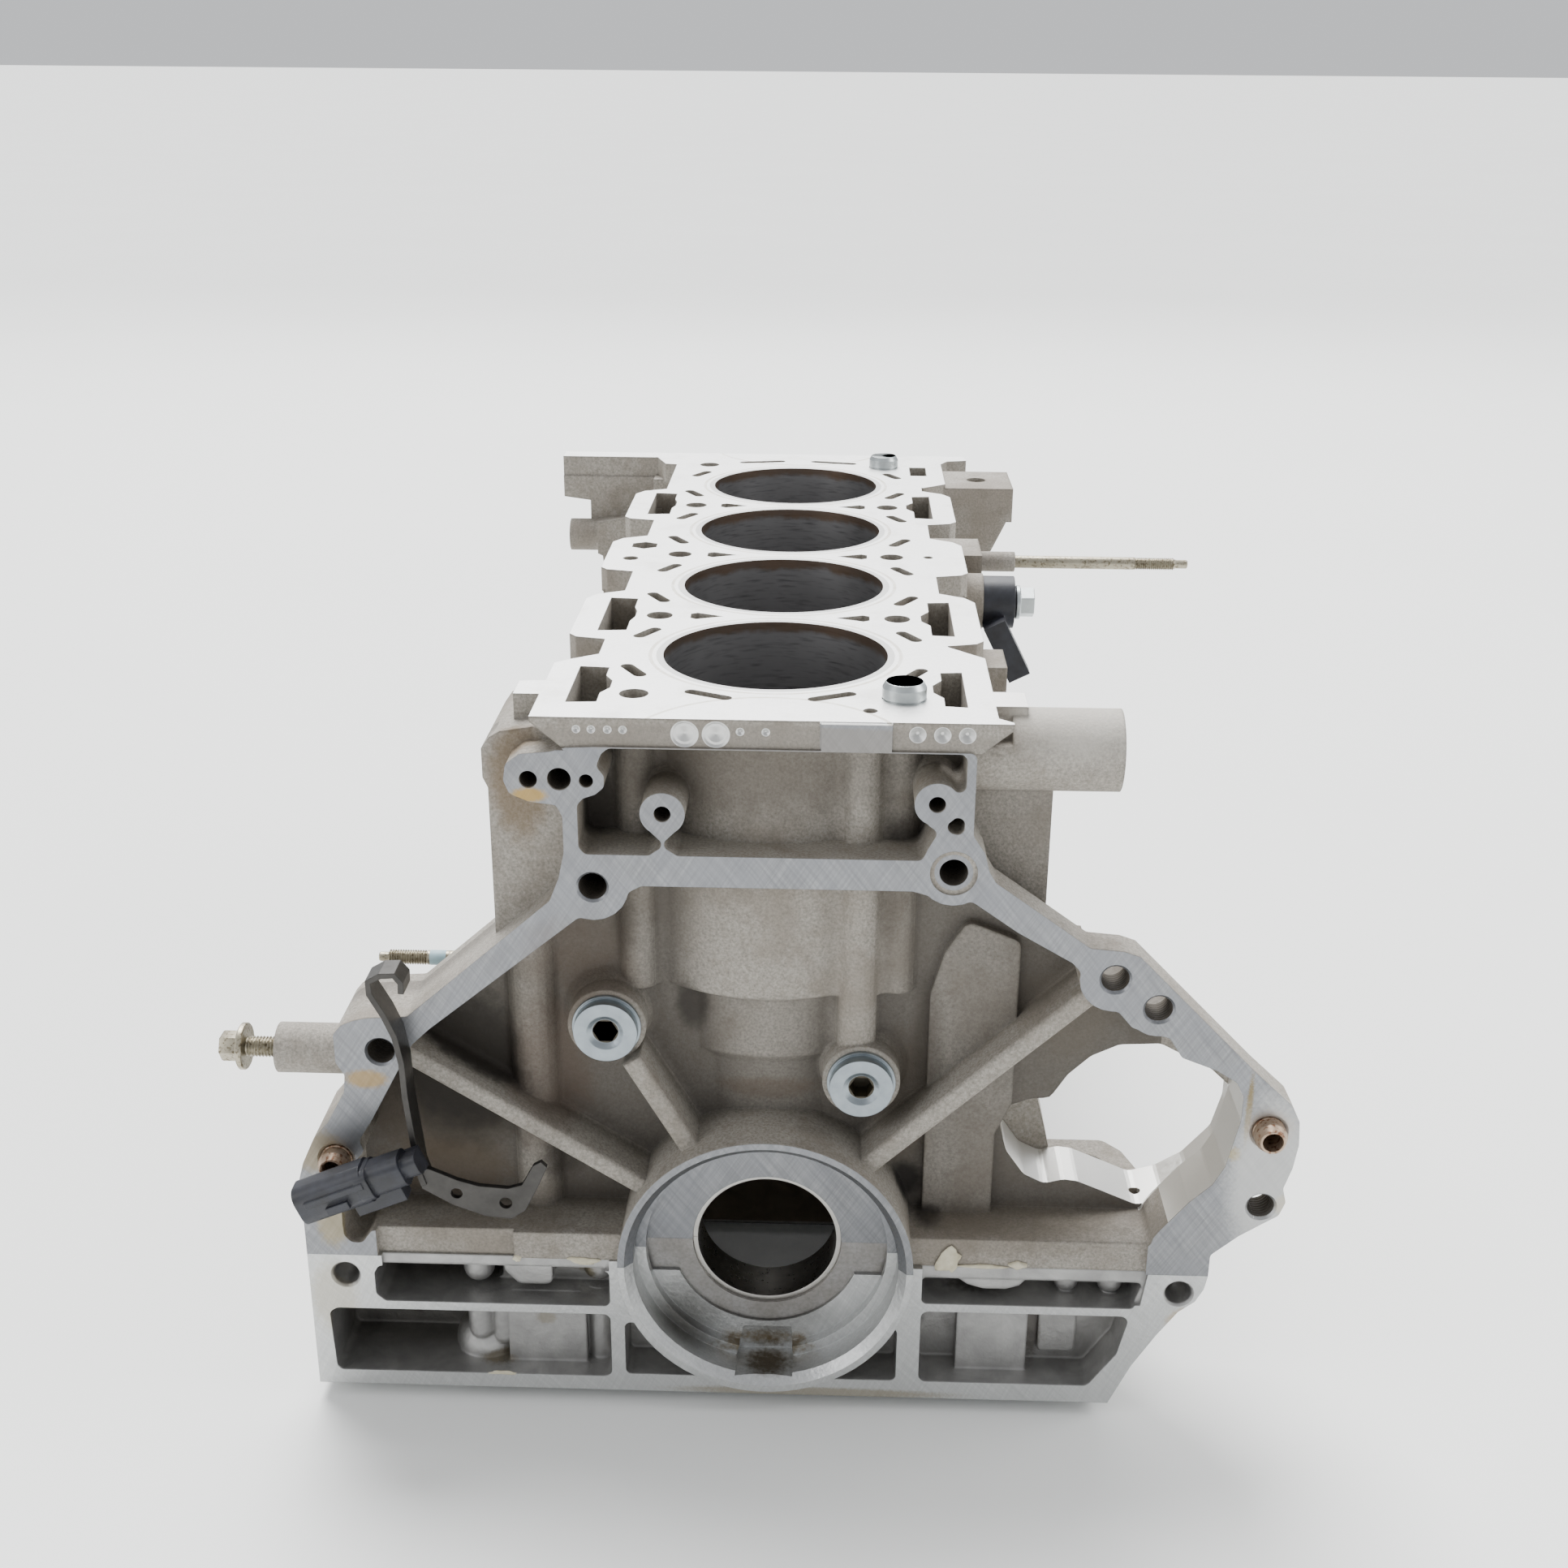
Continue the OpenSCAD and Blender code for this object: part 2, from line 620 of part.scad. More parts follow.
module bed_outline()
  polygon([[-179.3, 0], [-179.3, -bed_h], [136.6, -bed_h], [144.6, -43.2], [153.4, -28.1],
    [160.9, -17], [167, -12], [170, -6], [171, 0]]);

module bed_pockets_deep() {
  // far left chambers
  rounded(3) polygon([[-171.5, -55], [-172.6, -27], [-169.3, -25], [-106, -25], [-106, -55]]);
  rounded(2.5) polygon([[-151.5, -4.6], [-153.4, -8], [-153.4, -18], [-150, -21.2], [-106, -21.2], [-106, -4.6]]);
}

module bed_pockets_shallow() {
  difference() {
    union() {
      rounded(3) polygon([[-110, -55], [-110, -25], [-61, -25], [-61, -55]]);
      rounded(2.5) polygon([[-110, -4.6], [-110, -21.2], [-61, -21.2], [-61, -4.6]]);
      rounded(2.5) polygon([[-55.5, -53.5], [-55.5, -28], [-46, -30], [-20, -53.5]]);
      rounded(2.5) polygon([[20, -53.5], [46, -30], [52, -26], [52, -53.5]]);
      rounded(3) polygon([[61, -19.8], [61, -53.5], [128, -53.5], [138.5, -38], [142.5, -19.8]]);
      rounded(2) polygon([[61, -5.5], [61, -16.2], [143.5, -16.2], [147, -5.5]]);
    }
    disc(0, 0, ring_r);
  }
}

module bed_solids() {
  ext_y(0, rim_depth) bed_outline();
  // side rails and bulkheads
  box(-104, 104, 16.2, plate_y + 1, -bed_h, 0);
  ext_y(plate_y, front_y)
    polygon([[-116, 0], [-116, -40], [-104, -bed_h], [104, -bed_h], [112, -40], [112, 0]]);
}

// round column with a domed lower end
module bolt_column(x, y, r, z0, z1)
  translate([x, y, z0]) {
    sphere(r = r);
    cylinder(r = r, h = z1 - z0);
  }

module cap_section(g) {
  translate([-cap_ear_x - g, -cap_ear_z - g]) square([2 * (cap_ear_x + g), cap_ear_z + g]);
  intersection() {
    disc(0, 0, cap_r + g);
    translate([-60, -60]) square([120, 60]);
  }
}

module bedplate()
  color(clean_alu)
  difference() {
    union() {
      difference() {
        bed_solids();
        ext_y(-1, 31) bed_pockets_deep();
        ext_y(-1, 17) bed_pockets_shallow();
        ext_y(-1, 2) polygon([[-150, 0.1], [-150, -4.7], [-61, -4.7], [-61, 0.1]]);
        ext_y(-1, 2.4) polygon([[61, 0.1], [61, -14.6], [146, -14.6], [148, 0.1]]);
      }
      cyl_y(0, 0, ring_r, -4, rear_main_y);
      // forms inside the left chambers
      bolt_column(-115, 15, 6.2, -13.8, -4);
      bolt_column(-67, 17, 6.8, -12.6, -4);
      ext_y(8, 20) rounded(3) polygon([[-103.5, -2], [-103.5, -11], [-98, -17.2], [-84.6, -17.2], [-84.6, -2]]);
      bolt_column(-115, 15, 5.6, -43, -22);
      bolt_column(-106, 14, 4.6, -45.5, -22);
      translate([-114, 23, -54]) sphere(r = 13.5);
      ext_y(9, 20) rounded(2.5) polygon([[-103.5, -21], [-103.5, -57], [-72, -57], [-72, -21]]);
      translate([-67, 17.5, -57]) cylinder(r = 6.2, h = 36);
      // forms inside the right chambers
      ext_y(9, 20) rounded(2.5) polygon([[76, -17], [76, -57], [104, -57], [104, -17]]);
      ext_y(14, 20) rounded(2) polygon([[109, -17], [109, -48], [124, -48], [124, -17]]);
      ext_y(3, 17.5) polygon([[74, -5], [79, -8.6], [85, -10.4], [94, -10.4], [99, -8.6], [102, -5]]);
      bolt_column(118.5, 14, 5, -12.4, -4);
      bolt_column(135.5, 13, 5, -12, -4);
    }
    // bays between the bulkheads
    for (i = [0:3])
      box(-bay_x, bay_x, main_y(i) + bulkhead_w / 2, main_y(i + 1) - bulkhead_w / 2, -bed_h - 1, 1);
    // seal bore, bearing faces and the oil return notch
    cyl_y(0, 0, seal_r, -10, 10);
    cone_y(0, 0, seal_r + 3.2, seal_r, -4.01, -0.5);
    cyl_y(0, 0, face_bore_r, 9, rear_main_y - bulkhead_w / 2 - 1.5);
    cyl_y(0, 0, main_r, -10, front_y + 10);
    cyl_y(0, 0, 44, front_main_y + bulkhead_w / 2, front_y + 1);
    ext_y(-3, rear_main_y - bulkhead_w / 2) polygon([[-9, -40], [-12, -51.4], [11, -51.4], [10, -40]]);
    // seats of the cast-in bearing caps
    for (i = [0:4])
      ext_y(main_y(i) - bulkhead_w / 2 - (i == 0 ? 2 : 1), main_y(i) + bulkhead_w / 2 + 1)
        cap_section(press_gap);
    // main bearing bolts
    for (i = [0:4], s = [-1, 1]) {
      translate([main_bolt_x * s, main_y(i), -bed_h - 1]) cylinder(r = main_bolt_r + bolt_gap, h = bed_h + 2);
      translate([main_bolt_x * s, main_y(i), -bed_h - 1]) cylinder(r = 9.6, h = bed_h + 1 - main_seat);
    }
    // bedplate bolts
    for (i = [0:4], s = [-1, 1]) {
      translate([bed_bolt_x * s, bed_bolt_y(i), -bed_h - 1]) cylinder(r = 4 + bolt_gap, h = bed_h + 2);
      translate([bed_bolt_x * s, bed_bolt_y(i), -bed_h - 1]) cylinder(r = 8, h = bed_h + 1 - bed_seat);
    }
    // gearbox holes
    cyl_y(-164.7, -9.2, box_bolt_d / 2, -1, rim_depth + 1);
    cyl_y(160.4, -8.5, box_bolt_d / 2, -1, rim_depth + 1);
    cone_y(-164.7, -9.2, box_bolt_d / 2 + 0.9, box_bolt_d / 2, -0.01, 0.9);
    cone_y(160.4, -8.5, box_bolt_d / 2 + 0.9, box_bolt_d / 2, -0.01, 0.9);
    // oil pan holes
    for (y = [95, 177.5, 262.5, 347.5, 430], s = [-1, 1])
      translate([99.5 * s, y, -bed_h - 1]) cylinder(r = 2.6, h = 14);
    // everything above the parting face
    box(-300, 300, -20, front_y + 20, 0, 80);
  }

// liners, caps and shells

module liner(i)
  color(iron)
  translate([0, bore_y(i), deck_h - liner_len])
  difference() {
    cylinder(r = liner_r, h = liner_len);
    translate([0, 0, -1]) cylinder(r = bore_r, h = liner_len + 2);
  }

module cap_insert(i)
  color(iron)
  difference() {
    ext_y(main_y(i) - bulkhead_w / 2, main_y(i) + bulkhead_w / 2) cap_section(0);
    cyl_y(0, 0, main_r, main_y(i) - bulkhead_w, main_y(i) + bulkhead_w);
    for (s = [-1, 1])
      translate([main_bolt_x * s, main_y(i), -60]) cylinder(r = main_bolt_r + bolt_gap, h = 70);
  }

module shell(i, up)
  color(clean_alu)
  intersection() {
    difference() {
      cyl_y(0, 0, main_r - press_gap, main_y(i) - shell_w / 2, main_y(i) + shell_w / 2);
      cyl_y(0, 0, main_r - shell_t, main_y(i) - shell_w, main_y(i) + shell_w);
      if (up == 1)
        difference() {
          cyl_y(0, 0, main_r - shell_t + 0.8, main_y(i) - 2, main_y(i) + 2);
          cyl_y(0, 0, 5, main_y(i) - 3, main_y(i) + 3);
        }
    }
    box(-60, 60, main_y(i) - 30, main_y(i) + 30, up == 1 ? 0 : -60, up == 1 ? 60 : 0);
  }

// fasteners

module hex_head(af, h) cylinder(d = af / cos(30), h = h, $fn = 6);

module main_bolts()
  color(iron)
  for (i = [0:4], s = [-1, 1])
    translate([main_bolt_x * s, main_y(i), 0]) {
      translate([0, 0, -main_seat]) cylinder(r = main_bolt_r, h = main_seat + main_bolt_top);
      translate([0, 0, -main_seat - 2.5]) cylinder(r = 8.6, h = 2.5);
      translate([0, 0, -main_seat - 10.5]) hex_head(13, 8.1);
    }

module bedplate_bolts()
  color(zinc)
  for (i = [0:4], s = [-1, 1])
    translate([bed_bolt_x * s, bed_bolt_y(i), 0]) {
      translate([0, 0, -bed_seat]) cylinder(r = 4, h = bed_seat + 24.5);
      translate([0, 0, -bed_seat - 2]) cylinder(r = 7, h = 2);
      translate([0, 0, -bed_seat - 7.5]) hex_head(10, 5.6);
    }

module gallery_plug(p)
  color(zinc)
  difference() {
    union() {
      cyl_y(p[0], p[1], 8, plug_face_y, plug_face_y + 14);
      cyl_y(p[0], p[1], 13, plug_face_y - 1.6, plug_face_y);
      cyl_y(p[0], p[1], 12, plug_face_y - 6, plug_face_y - 1.5);
    }
    cone_y(p[0], p[1], 7, 5, plug_face_y - 6.01, plug_face_y - 4.5);
    translate([p[0], plug_face_y - 7, p[1]]) rotate([-90, 0, 0]) hex_head(8, 10);
  }

module deck_dowel(y)
  color(zinc)
  translate([head_bolt_x - 0.7, y, deck_h - 9])
  difference() {
    union() {
      cylinder(r = deck_dowel_d / 2, h = 13.4);
      translate([0, 0, 13.4]) cylinder(r1 = deck_dowel_d / 2, r2 = deck_dowel_d / 2 - 1.3, h = 2.1);
    }
    translate([0, 0, -1]) cylinder(r = deck_dowel_d / 2 - 1.5, h = 20);
    translate([-12, -0.7, -1]) cube([6, 1.4, 20]);
    translate([0, 0, 8.8])
    difference() {
      cylinder(r = deck_dowel_d / 2 + 1, h = 0.8);
      translate([0, 0, -1]) cylinder(r = deck_dowel_d / 2 - 0.4, h = 3);
    }
  }

module flange_dowel(x, z)
  color([0.55, 0.42, 0.33])
  difference() {
    union() {
      cyl_y(x, z, flange_dowel_d / 2, -4.5, 13.5);
      cone_y(x, z, flange_dowel_d / 2 - 1.3, flange_dowel_d / 2, -7.6, -4.5);
    }
    cyl_y(x, z, flange_dowel_d / 2 - 2.2, -11, 14);
    difference() {
      cyl_y(x, z, flange_dowel_d / 2 + 1, -0.6, 0.2);
      cyl_y(x, z, flange_dowel_d / 2 - 0.4, -1, 1);
    }
  }

// harness bracket and connector

strip_path = [[-131.8, 121], [-131.6, 125.2], [-134, 128.3], [-139, 128], [-143.6, 125.4], [-143.4, 120.5],
  [-138.7, 111.5], [-135.4, 103], [-133.6, 92], [-133.2, 78], [-131.6, 60], [-130.2, 46], [-128.5, 40]];

function along(p, i) = let (a = p[max(0, i - 1)], b = p[min(len(p) - 1, i + 1)]) (b - a) / norm(b - a);
function side_line(p, w) = [for (i = [0:len(p) - 1]) p[i] + w * [-along(p, i)[1], along(p, i)[0]]];
function flipped(p) = [for (i = [len(p) - 1:-1:0]) p[i]];

module strip_plan(w) polygon(concat(side_line(strip_path, w / 2), flipped(side_line(strip_path, -w / 2))));

module harness_bracket()
  color([0.30, 0.30, 0.31])
  difference() {
    union() {
      ext_y(-11, 0) strip_plan(2.2);
      ext_y(-10, -7.8)
        polygon([[-130.5, 47.5], [-126, 46.5], [-116, 42], [-108, 39.6], [-97, 38.8], [-91.5, 40.5],
          [-87, 49], [-84, 50.8], [-81.8, 48.5], [-85, 41], [-90.6, 29.4], [-96, 25.4], [-106, 26.4],
          [-118, 31], [-129.5, 38]]);
    }
    cyl_y(-116.5, 36.2, 2.2, -12, -6);
    cyl_y(-98, 32.4, 2.4, -12, -6);
  }

// oval section of the connector body
module oval_bar(x0, x1, w, h, r)
  translate([x0, 0, 0])
  rotate([90, 0, 90])
  linear_extrude(x1 - x0) {
    square([w - 2 * r, h], center = true);
    square([w, h - 2 * r], center = true);
    for (a = [-1, 1], b = [-1, 1])
      translate([a * (w / 2 - r), b * (h / 2 - r)]) circle(r = r);
  }

module harness_connector()
  color(plastic)
  translate([-127.5, -18.5, 55.6])
  rotate([0, -23, 0])
  difference() {
    union() {
      oval_bar(-49, -21, 14, 15.6, 5);
      oval_bar(-21.5, -6, 12, 12.6, 4);
      oval_bar(-24, -19, 14.8, 13, 4);
      oval_bar(-6.5, 0, 8.6, 8.6, 3);
      // latch, coding rib and the foot that clips on the bracket
      translate([-45, -8, 0.6]) cube([24, 3, 2.4]);
      translate([-38, -8.6, -4.6]) cube([9, 3, 3]);
      translate([-30, -3.5, -11.6]) cube([20, 7, 7]);
      translate([-9, 3, -6]) cube([8, 4.5, 9]);
    }
    oval_bar(-50, -30, 11.4, 13, 3.8);
  }

// studs, bolt and sensor on the sides

module side_bolt()
  color([0.62, 0.56, 0.46]) {
    cyl_x(14, 84, 4, -199.5, -169);
    cyl_x(14, 84, 9, -201.2, -198.6);
    translate([-208.5, 14, 84]) rotate([0, 90, 0]) hex_head(10, 7.5);
  }

module side_stud()
  color([0.66, 0.60, 0.44]) {
    cyl_x(58, 101, 3, -153, -87);
    cyl_x(58, 101, 1.9, -157, -152.9);
  }

module long_stud()
  color([0.72, 0.69, 0.56]) {
    cyl_x(275, stud_z, 3, 80, 186);
    cyl_x(275, stud_z, 2.1, 185.9, 191.5);
  }

module stud_sleeve()
  color(casting)
  difference() {
    cyl_x(275, stud_z, 4.8, 91, 108.5);
    cyl_x(275, stud_z, 3 + bolt_gap / 2, 90, 110);
  }

module knock_sensor()
  color(plastic)
  difference() {
    union() {
      cyl_x(230, sensor_z, 12, 90, 104.5);
      cyl_x(230, sensor_z, 7, 104, 105.6);
      translate([97, 216, sensor_z - 10]) rotate([0, -27, 0]) translate([-5.2, -6, -23]) cube([10.4, 12, 28]);
    }
    cyl_x(230, sensor_z, 4 + bolt_gap / 2, 80, 120);
    translate([97, 216, sensor_z - 10]) rotate([0, -27, 0]) translate([-3.8, -4.6, -24]) cube([7.6, 9.2, 11]);
  }

module knock_sensor_bolt()
  color(zinc) {
    cyl_x(230, sensor_z, 4, 79, 106);
    cyl_x(230, sensor_z, 7.8, 105.6, 107.4);
    translate([107.3, 230, sensor_z]) rotate([0, 90, 0]) hex_head(12, 6.6);
  }

cylinder_block();
bedplate();
liner(0);  // liner_1
liner(1);  // liner_2
liner(2);  // liner_3
liner(3);  // liner_4
cap_insert(0);  // cap_insert_1
cap_insert(1);  // cap_insert_2
cap_insert(2);  // cap_insert_3
cap_insert(3);  // cap_insert_4
cap_insert(4);  // cap_insert_5
shell(0, 1);  // upper_shell_1
shell(1, 1);  // upper_shell_2
shell(2, 1);  // upper_shell_3
shell(3, 1);  // upper_shell_4
shell(4, 1);  // upper_shell_5
shell(0, 0);  // lower_shell_1
shell(1, 0);  // lower_shell_2
shell(2, 0);  // lower_shell_3
shell(3, 0);  // lower_shell_4
shell(4, 0);  // lower_shell_5
main_bolts();
bedplate_bolts();
gallery_plug(plug_l);  // gallery_plug_left
gallery_plug(plug_r);  // gallery_plug_right
deck_dowel(mid_y(-1));  // deck_dowel_rear
deck_dowel(mid_y(3));  // deck_dowel_front
flange_dowel(-164.2, 43.4);  // flange_dowel_left
flange_dowel(187.8, 65);  // flange_dowel_right
harness_bracket();
harness_connector();
side_bolt();
side_stud();
long_stud();
stud_sleeve();
knock_sensor();
knock_sensor_bolt();
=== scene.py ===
import math

import bmesh
import bpy
from mathutils import Matrix, Vector


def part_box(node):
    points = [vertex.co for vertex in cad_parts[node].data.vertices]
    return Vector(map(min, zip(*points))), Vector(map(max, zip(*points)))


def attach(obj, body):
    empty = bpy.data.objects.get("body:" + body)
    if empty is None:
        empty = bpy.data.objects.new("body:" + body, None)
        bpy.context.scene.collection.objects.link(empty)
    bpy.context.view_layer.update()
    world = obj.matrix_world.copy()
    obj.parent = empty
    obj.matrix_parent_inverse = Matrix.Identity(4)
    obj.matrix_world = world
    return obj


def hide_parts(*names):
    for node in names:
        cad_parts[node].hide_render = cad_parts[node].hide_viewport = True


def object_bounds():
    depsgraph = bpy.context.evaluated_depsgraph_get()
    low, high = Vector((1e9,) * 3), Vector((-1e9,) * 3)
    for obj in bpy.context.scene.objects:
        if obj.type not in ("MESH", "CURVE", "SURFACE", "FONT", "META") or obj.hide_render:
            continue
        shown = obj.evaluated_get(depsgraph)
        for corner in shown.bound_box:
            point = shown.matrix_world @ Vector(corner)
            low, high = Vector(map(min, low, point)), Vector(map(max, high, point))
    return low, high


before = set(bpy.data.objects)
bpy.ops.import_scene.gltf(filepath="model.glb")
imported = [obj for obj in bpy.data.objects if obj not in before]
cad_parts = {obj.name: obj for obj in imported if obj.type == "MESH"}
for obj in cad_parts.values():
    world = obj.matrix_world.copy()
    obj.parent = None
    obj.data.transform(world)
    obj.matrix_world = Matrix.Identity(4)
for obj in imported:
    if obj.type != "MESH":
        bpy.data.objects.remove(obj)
cad_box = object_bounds()

MM = 0.001

# slices that hold the machined faces, as x, y and z limits in mm, a little wider than the faces
REAR_FACE = (None, None, -0.2, 0.2, None, None)
SEAL_RING_FACE = (None, None, -5, -3.8, None, None)
TIMING_FACE = (None, None, 458.5, 460, None, None)
DECK = (None, None, None, None, 223.2, 225)
# bores and bays that the finishes follow, in mm
SEAL_BORE_RADIUS, SEAL_BORE_REACH = 54.6, (-6, 16.6)
BEARING_LINE_RADIUS, BEARING_LINE_REACH = 29.9, (-6, 470)
CRANK_LINE = (0, 0)
STARTER_CENTRE = (143, 52)
CRANK_BAYS_Y = (38, 440)
FIRST_BORE_Y, BORE_PITCH = 77.5, 100
GASKET_PRINT_RADIUS = 48
THREAD_PITCH = 1.5

plugs = ("gallery_plug_left", "gallery_plug_right")


def shade(code):
    """sRGB hex to the linear colour that the shaders work in."""
    parts = [int(code[i:i + 2], 16) / 255 for i in (1, 3, 5)]
    linear = [c / 12.92 if c <= 0.04045 else ((c + 0.055) / 1.055) ** 2.4 for c in parts]
    return (*linear, 1.0)


def add(tree, kind, sets=None, feeds=None):
    """Adds one node with its settings and with what feeds its sockets."""
    node = tree.nodes.new("ShaderNode" + kind)
    for name, value in (sets or {}).items():
        setattr(node, name, value)
    for name, value in (feeds or {}).items():
        if isinstance(value, bpy.types.NodeSocket):
            tree.links.new(value, node.inputs[name])
        else:
            node.inputs[name].default_value = value
    return node


def finish(name):
    """A new material with its tree, its principled shader and the object coordinates."""
    mat = bpy.data.materials.new(name)
    mat.use_nodes = True
    tree = mat.node_tree
    tree.nodes.clear()
    out = add(tree, "OutputMaterial")
    skin = add(tree, "BsdfPrincipled")
    tree.links.new(skin.outputs["BSDF"], out.inputs["Surface"])
    place = add(tree, "TexCoord")
    return mat, tree, skin, place


def both(tree, first, second):
    """1 where two masks meet, 0 elsewhere. A number in place of the second is its strength."""
    return add(tree, "Math", {"operation": "MULTIPLY"}, {0: first, 1: second}).outputs[0]


def any_of(tree, masks):
    """The union of several patches."""
    whole = masks[0]
    for mask in masks[1:]:
        whole = add(tree, "Math", {"operation": "MAXIMUM"}, {0: whole, 1: mask}).outputs[0]
    return whole


def patch(tree, place, box, facing=None):
    """1 inside a box in mm (x0, x1, y0, y1, z0, z1), 0 outside, and only where the surface
    faces a given way. None leaves an axis open."""
    axes = add(tree, "SeparateXYZ", {}, {0: place.outputs["Object"]})
    found = None
    for i in range(3):
        low, high = box[2 * i], box[2 * i + 1]
        if low is None:
            continue
        slab = add(tree, "Math", {"operation": "COMPARE"},
                   {0: axes.outputs[i], 1: (low + high) / 2 * MM, 2: (high - low) / 2 * MM})
        found = slab.outputs[0] if found is None else both(tree, found, slab.outputs[0])
    if facing:
        along = add(tree, "VectorMath", {"operation": "DOT_PRODUCT"},
                    {0: place.outputs["Normal"], 1: facing})
        faced = add(tree, "Math", {"operation": "GREATER_THAN"},
                    {0: along.outputs["Value"], 1: 0.9})
        found = both(tree, found, faced.outputs[0])
    return found


def round_patch(tree, place, centre, radius, y0, y1):
    """1 inside a round bar along the crank line's direction, in mm, 0 outside."""
    flat = add(tree, "VectorMath", {"operation": "MULTIPLY"},
               {0: place.outputs["Object"], 1: (1, 0, 1)})
    away = add(tree, "VectorMath", {"operation": "DISTANCE"},
               {0: flat.outputs[0], 1: (centre[0] * MM, 0, centre[1] * MM)})
    near = add(tree, "Math", {"operation": "LESS_THAN"}, {0: away.outputs["Value"], 1: radius * MM})
    deep = patch(tree, place, (None, None, y0, y1, None, None))
    return both(tree, near.outputs[0], deep)


def drilled(tree, place, holes, y0, y1):
    """1 inside any of several holes (x, z, radius) that run along the crank line, 0 outside."""
    return any_of(tree, [round_patch(tree, place, (x, z), r, y0, y1) for x, z, r in holes])


def facing_in(tree, place, centre):
    """1 where a surface looks towards a line along the crank's direction through centre
    (x, z in mm), 0 elsewhere."""
    off = add(tree, "VectorMath", {"operation": "SUBTRACT"},
              {0: place.outputs["Object"], 1: (centre[0] * MM, 0, centre[1] * MM)})
    flat = add(tree, "VectorMath", {"operation": "MULTIPLY"}, {0: off.outputs[0], 1: (1, 0, 1)})
    away = add(tree, "VectorMath", {"operation": "DOT_PRODUCT"},
               {0: flat.outputs[0], 1: place.outputs["Normal"]})
    return add(tree, "Math", {"operation": "LESS_THAN"},
               {0: away.outputs["Value"], 1: -3 * MM}).outputs[0]


def oiled_and_shaded_bays(tree, place, low, high):
    """The inner walls and bulkheads of the four crank bays, between two heights in mm."""
    outer_half, inner_half = 91, 62
    walls = both(tree, patch(tree, place, (-outer_half, outer_half, *CRANK_BAYS_Y, low, high)),
                 facing_in(tree, place, CRANK_LINE))
    bulkheads = patch(tree, place, (-inner_half, inner_half, *CRANK_BAYS_Y, low, high))
    return any_of(tree, [walls, bulkheads])


def stain(tree, place, centre, size, soft=0.5, ragged=0.5):
    """A soft spot with a ragged rim: 1 in its middle, 0 outside. Centre and half sizes in mm."""
    rag_size = 0.35 * min(size) * MM
    rough = add(tree, "TexNoise", {}, {"Vector": place.outputs["Object"], "Scale": 1 / rag_size,
                                       "Detail": 3.0})
    shift = add(tree, "Math", {"operation": "MULTIPLY_ADD"},
                {0: rough.outputs["Fac"], 1: ragged, 2: -0.5 * ragged})
    off = add(tree, "VectorMath", {"operation": "SUBTRACT"},
              {0: place.outputs["Object"], 1: tuple(c * MM for c in centre)})
    shape = add(tree, "VectorMath", {"operation": "DIVIDE"},
                {0: off.outputs[0], 1: tuple(s * MM for s in size)})
    away = add(tree, "VectorMath", {"operation": "LENGTH"}, {0: shape.outputs[0]})
    edge = add(tree, "Math", {"operation": "ADD"}, {0: away.outputs["Value"], 1: shift.outputs[0]})
    return add(tree, "MapRange", {"interpolation_type": "SMOOTHSTEP"},
               {0: edge.outputs[0], 1: 1 - soft, 2: 1.0, 3: 1.0, 4: 0.0}).outputs[0]


def tint(tree, fac, low, high):
    """Mixes two colours, given as hex codes or sockets."""
    mix = add(tree, "Mix", {"data_type": "RGBA"})
    for socket, value in ((0, fac), (6, low), (7, high)):
        if isinstance(value, str):
            mix.inputs[socket].default_value = shade(value)
        elif isinstance(value, bpy.types.NodeSocket):
            tree.links.new(value, mix.inputs[socket])
        else:
            mix.inputs[socket].default_value = value
    return mix.outputs[2]


def stained(tree, tone, spots):
    """Lays spots over a tone, each given as its mask, its colour and its strength."""
    for spot, colour, strength in spots:
        tone = tint(tree, both(tree, spot, strength), tone, colour)
    return tone


def blend_value(tree, fac, low, high):
    """Mixes two numbers or two number sockets."""
    return add(tree, "MapRange", {}, {0: fac, 1: 0.0, 2: 1.0, 3: low, 4: high}).outputs[0]


# ---- castings ----

def cutter_marks(tree, place, turn, gap):
    """Fine straight marks that a face mill leaves, gap mm apart, turned about the crank line."""
    stretch = 25.0
    lay = add(tree, "Mapping", {"vector_type": "TEXTURE"},
              {"Vector": place.outputs["Object"], "Rotation": (0, math.radians(turn), 0),
               "Scale": (1.0, 1.0, stretch)})
    return add(tree, "TexNoise", {}, {"Vector": lay.outputs[0], "Scale": 1 / (gap * MM),
                                      "Detail": 2.0, "Roughness": 0.6}).outputs["Fac"]


def crossed_marks(tree, place, turns):
    """Two lays of cutter marks that cross, 0.9 and 1.3 mm apart, coarse enough to show."""
    return both(tree, cutter_marks(tree, place, turns[0], 0.9),
                cutter_marks(tree, place, turns[1], 1.3))


def shared_cuts(tree, place):
    """What was milled or bored in one go with block and bedplate bolted together."""
    return [
        patch(tree, place, REAR_FACE, (0, -1, 0)),
        patch(tree, place, SEAL_RING_FACE, (0, -1, 0)),
        patch(tree, place, TIMING_FACE, (0, 1, 0)),
        round_patch(tree, place, CRANK_LINE, SEAL_BORE_RADIUS, *SEAL_BORE_REACH),
        round_patch(tree, place, CRANK_LINE, BEARING_LINE_RADIUS, *BEARING_LINE_REACH),
    ]


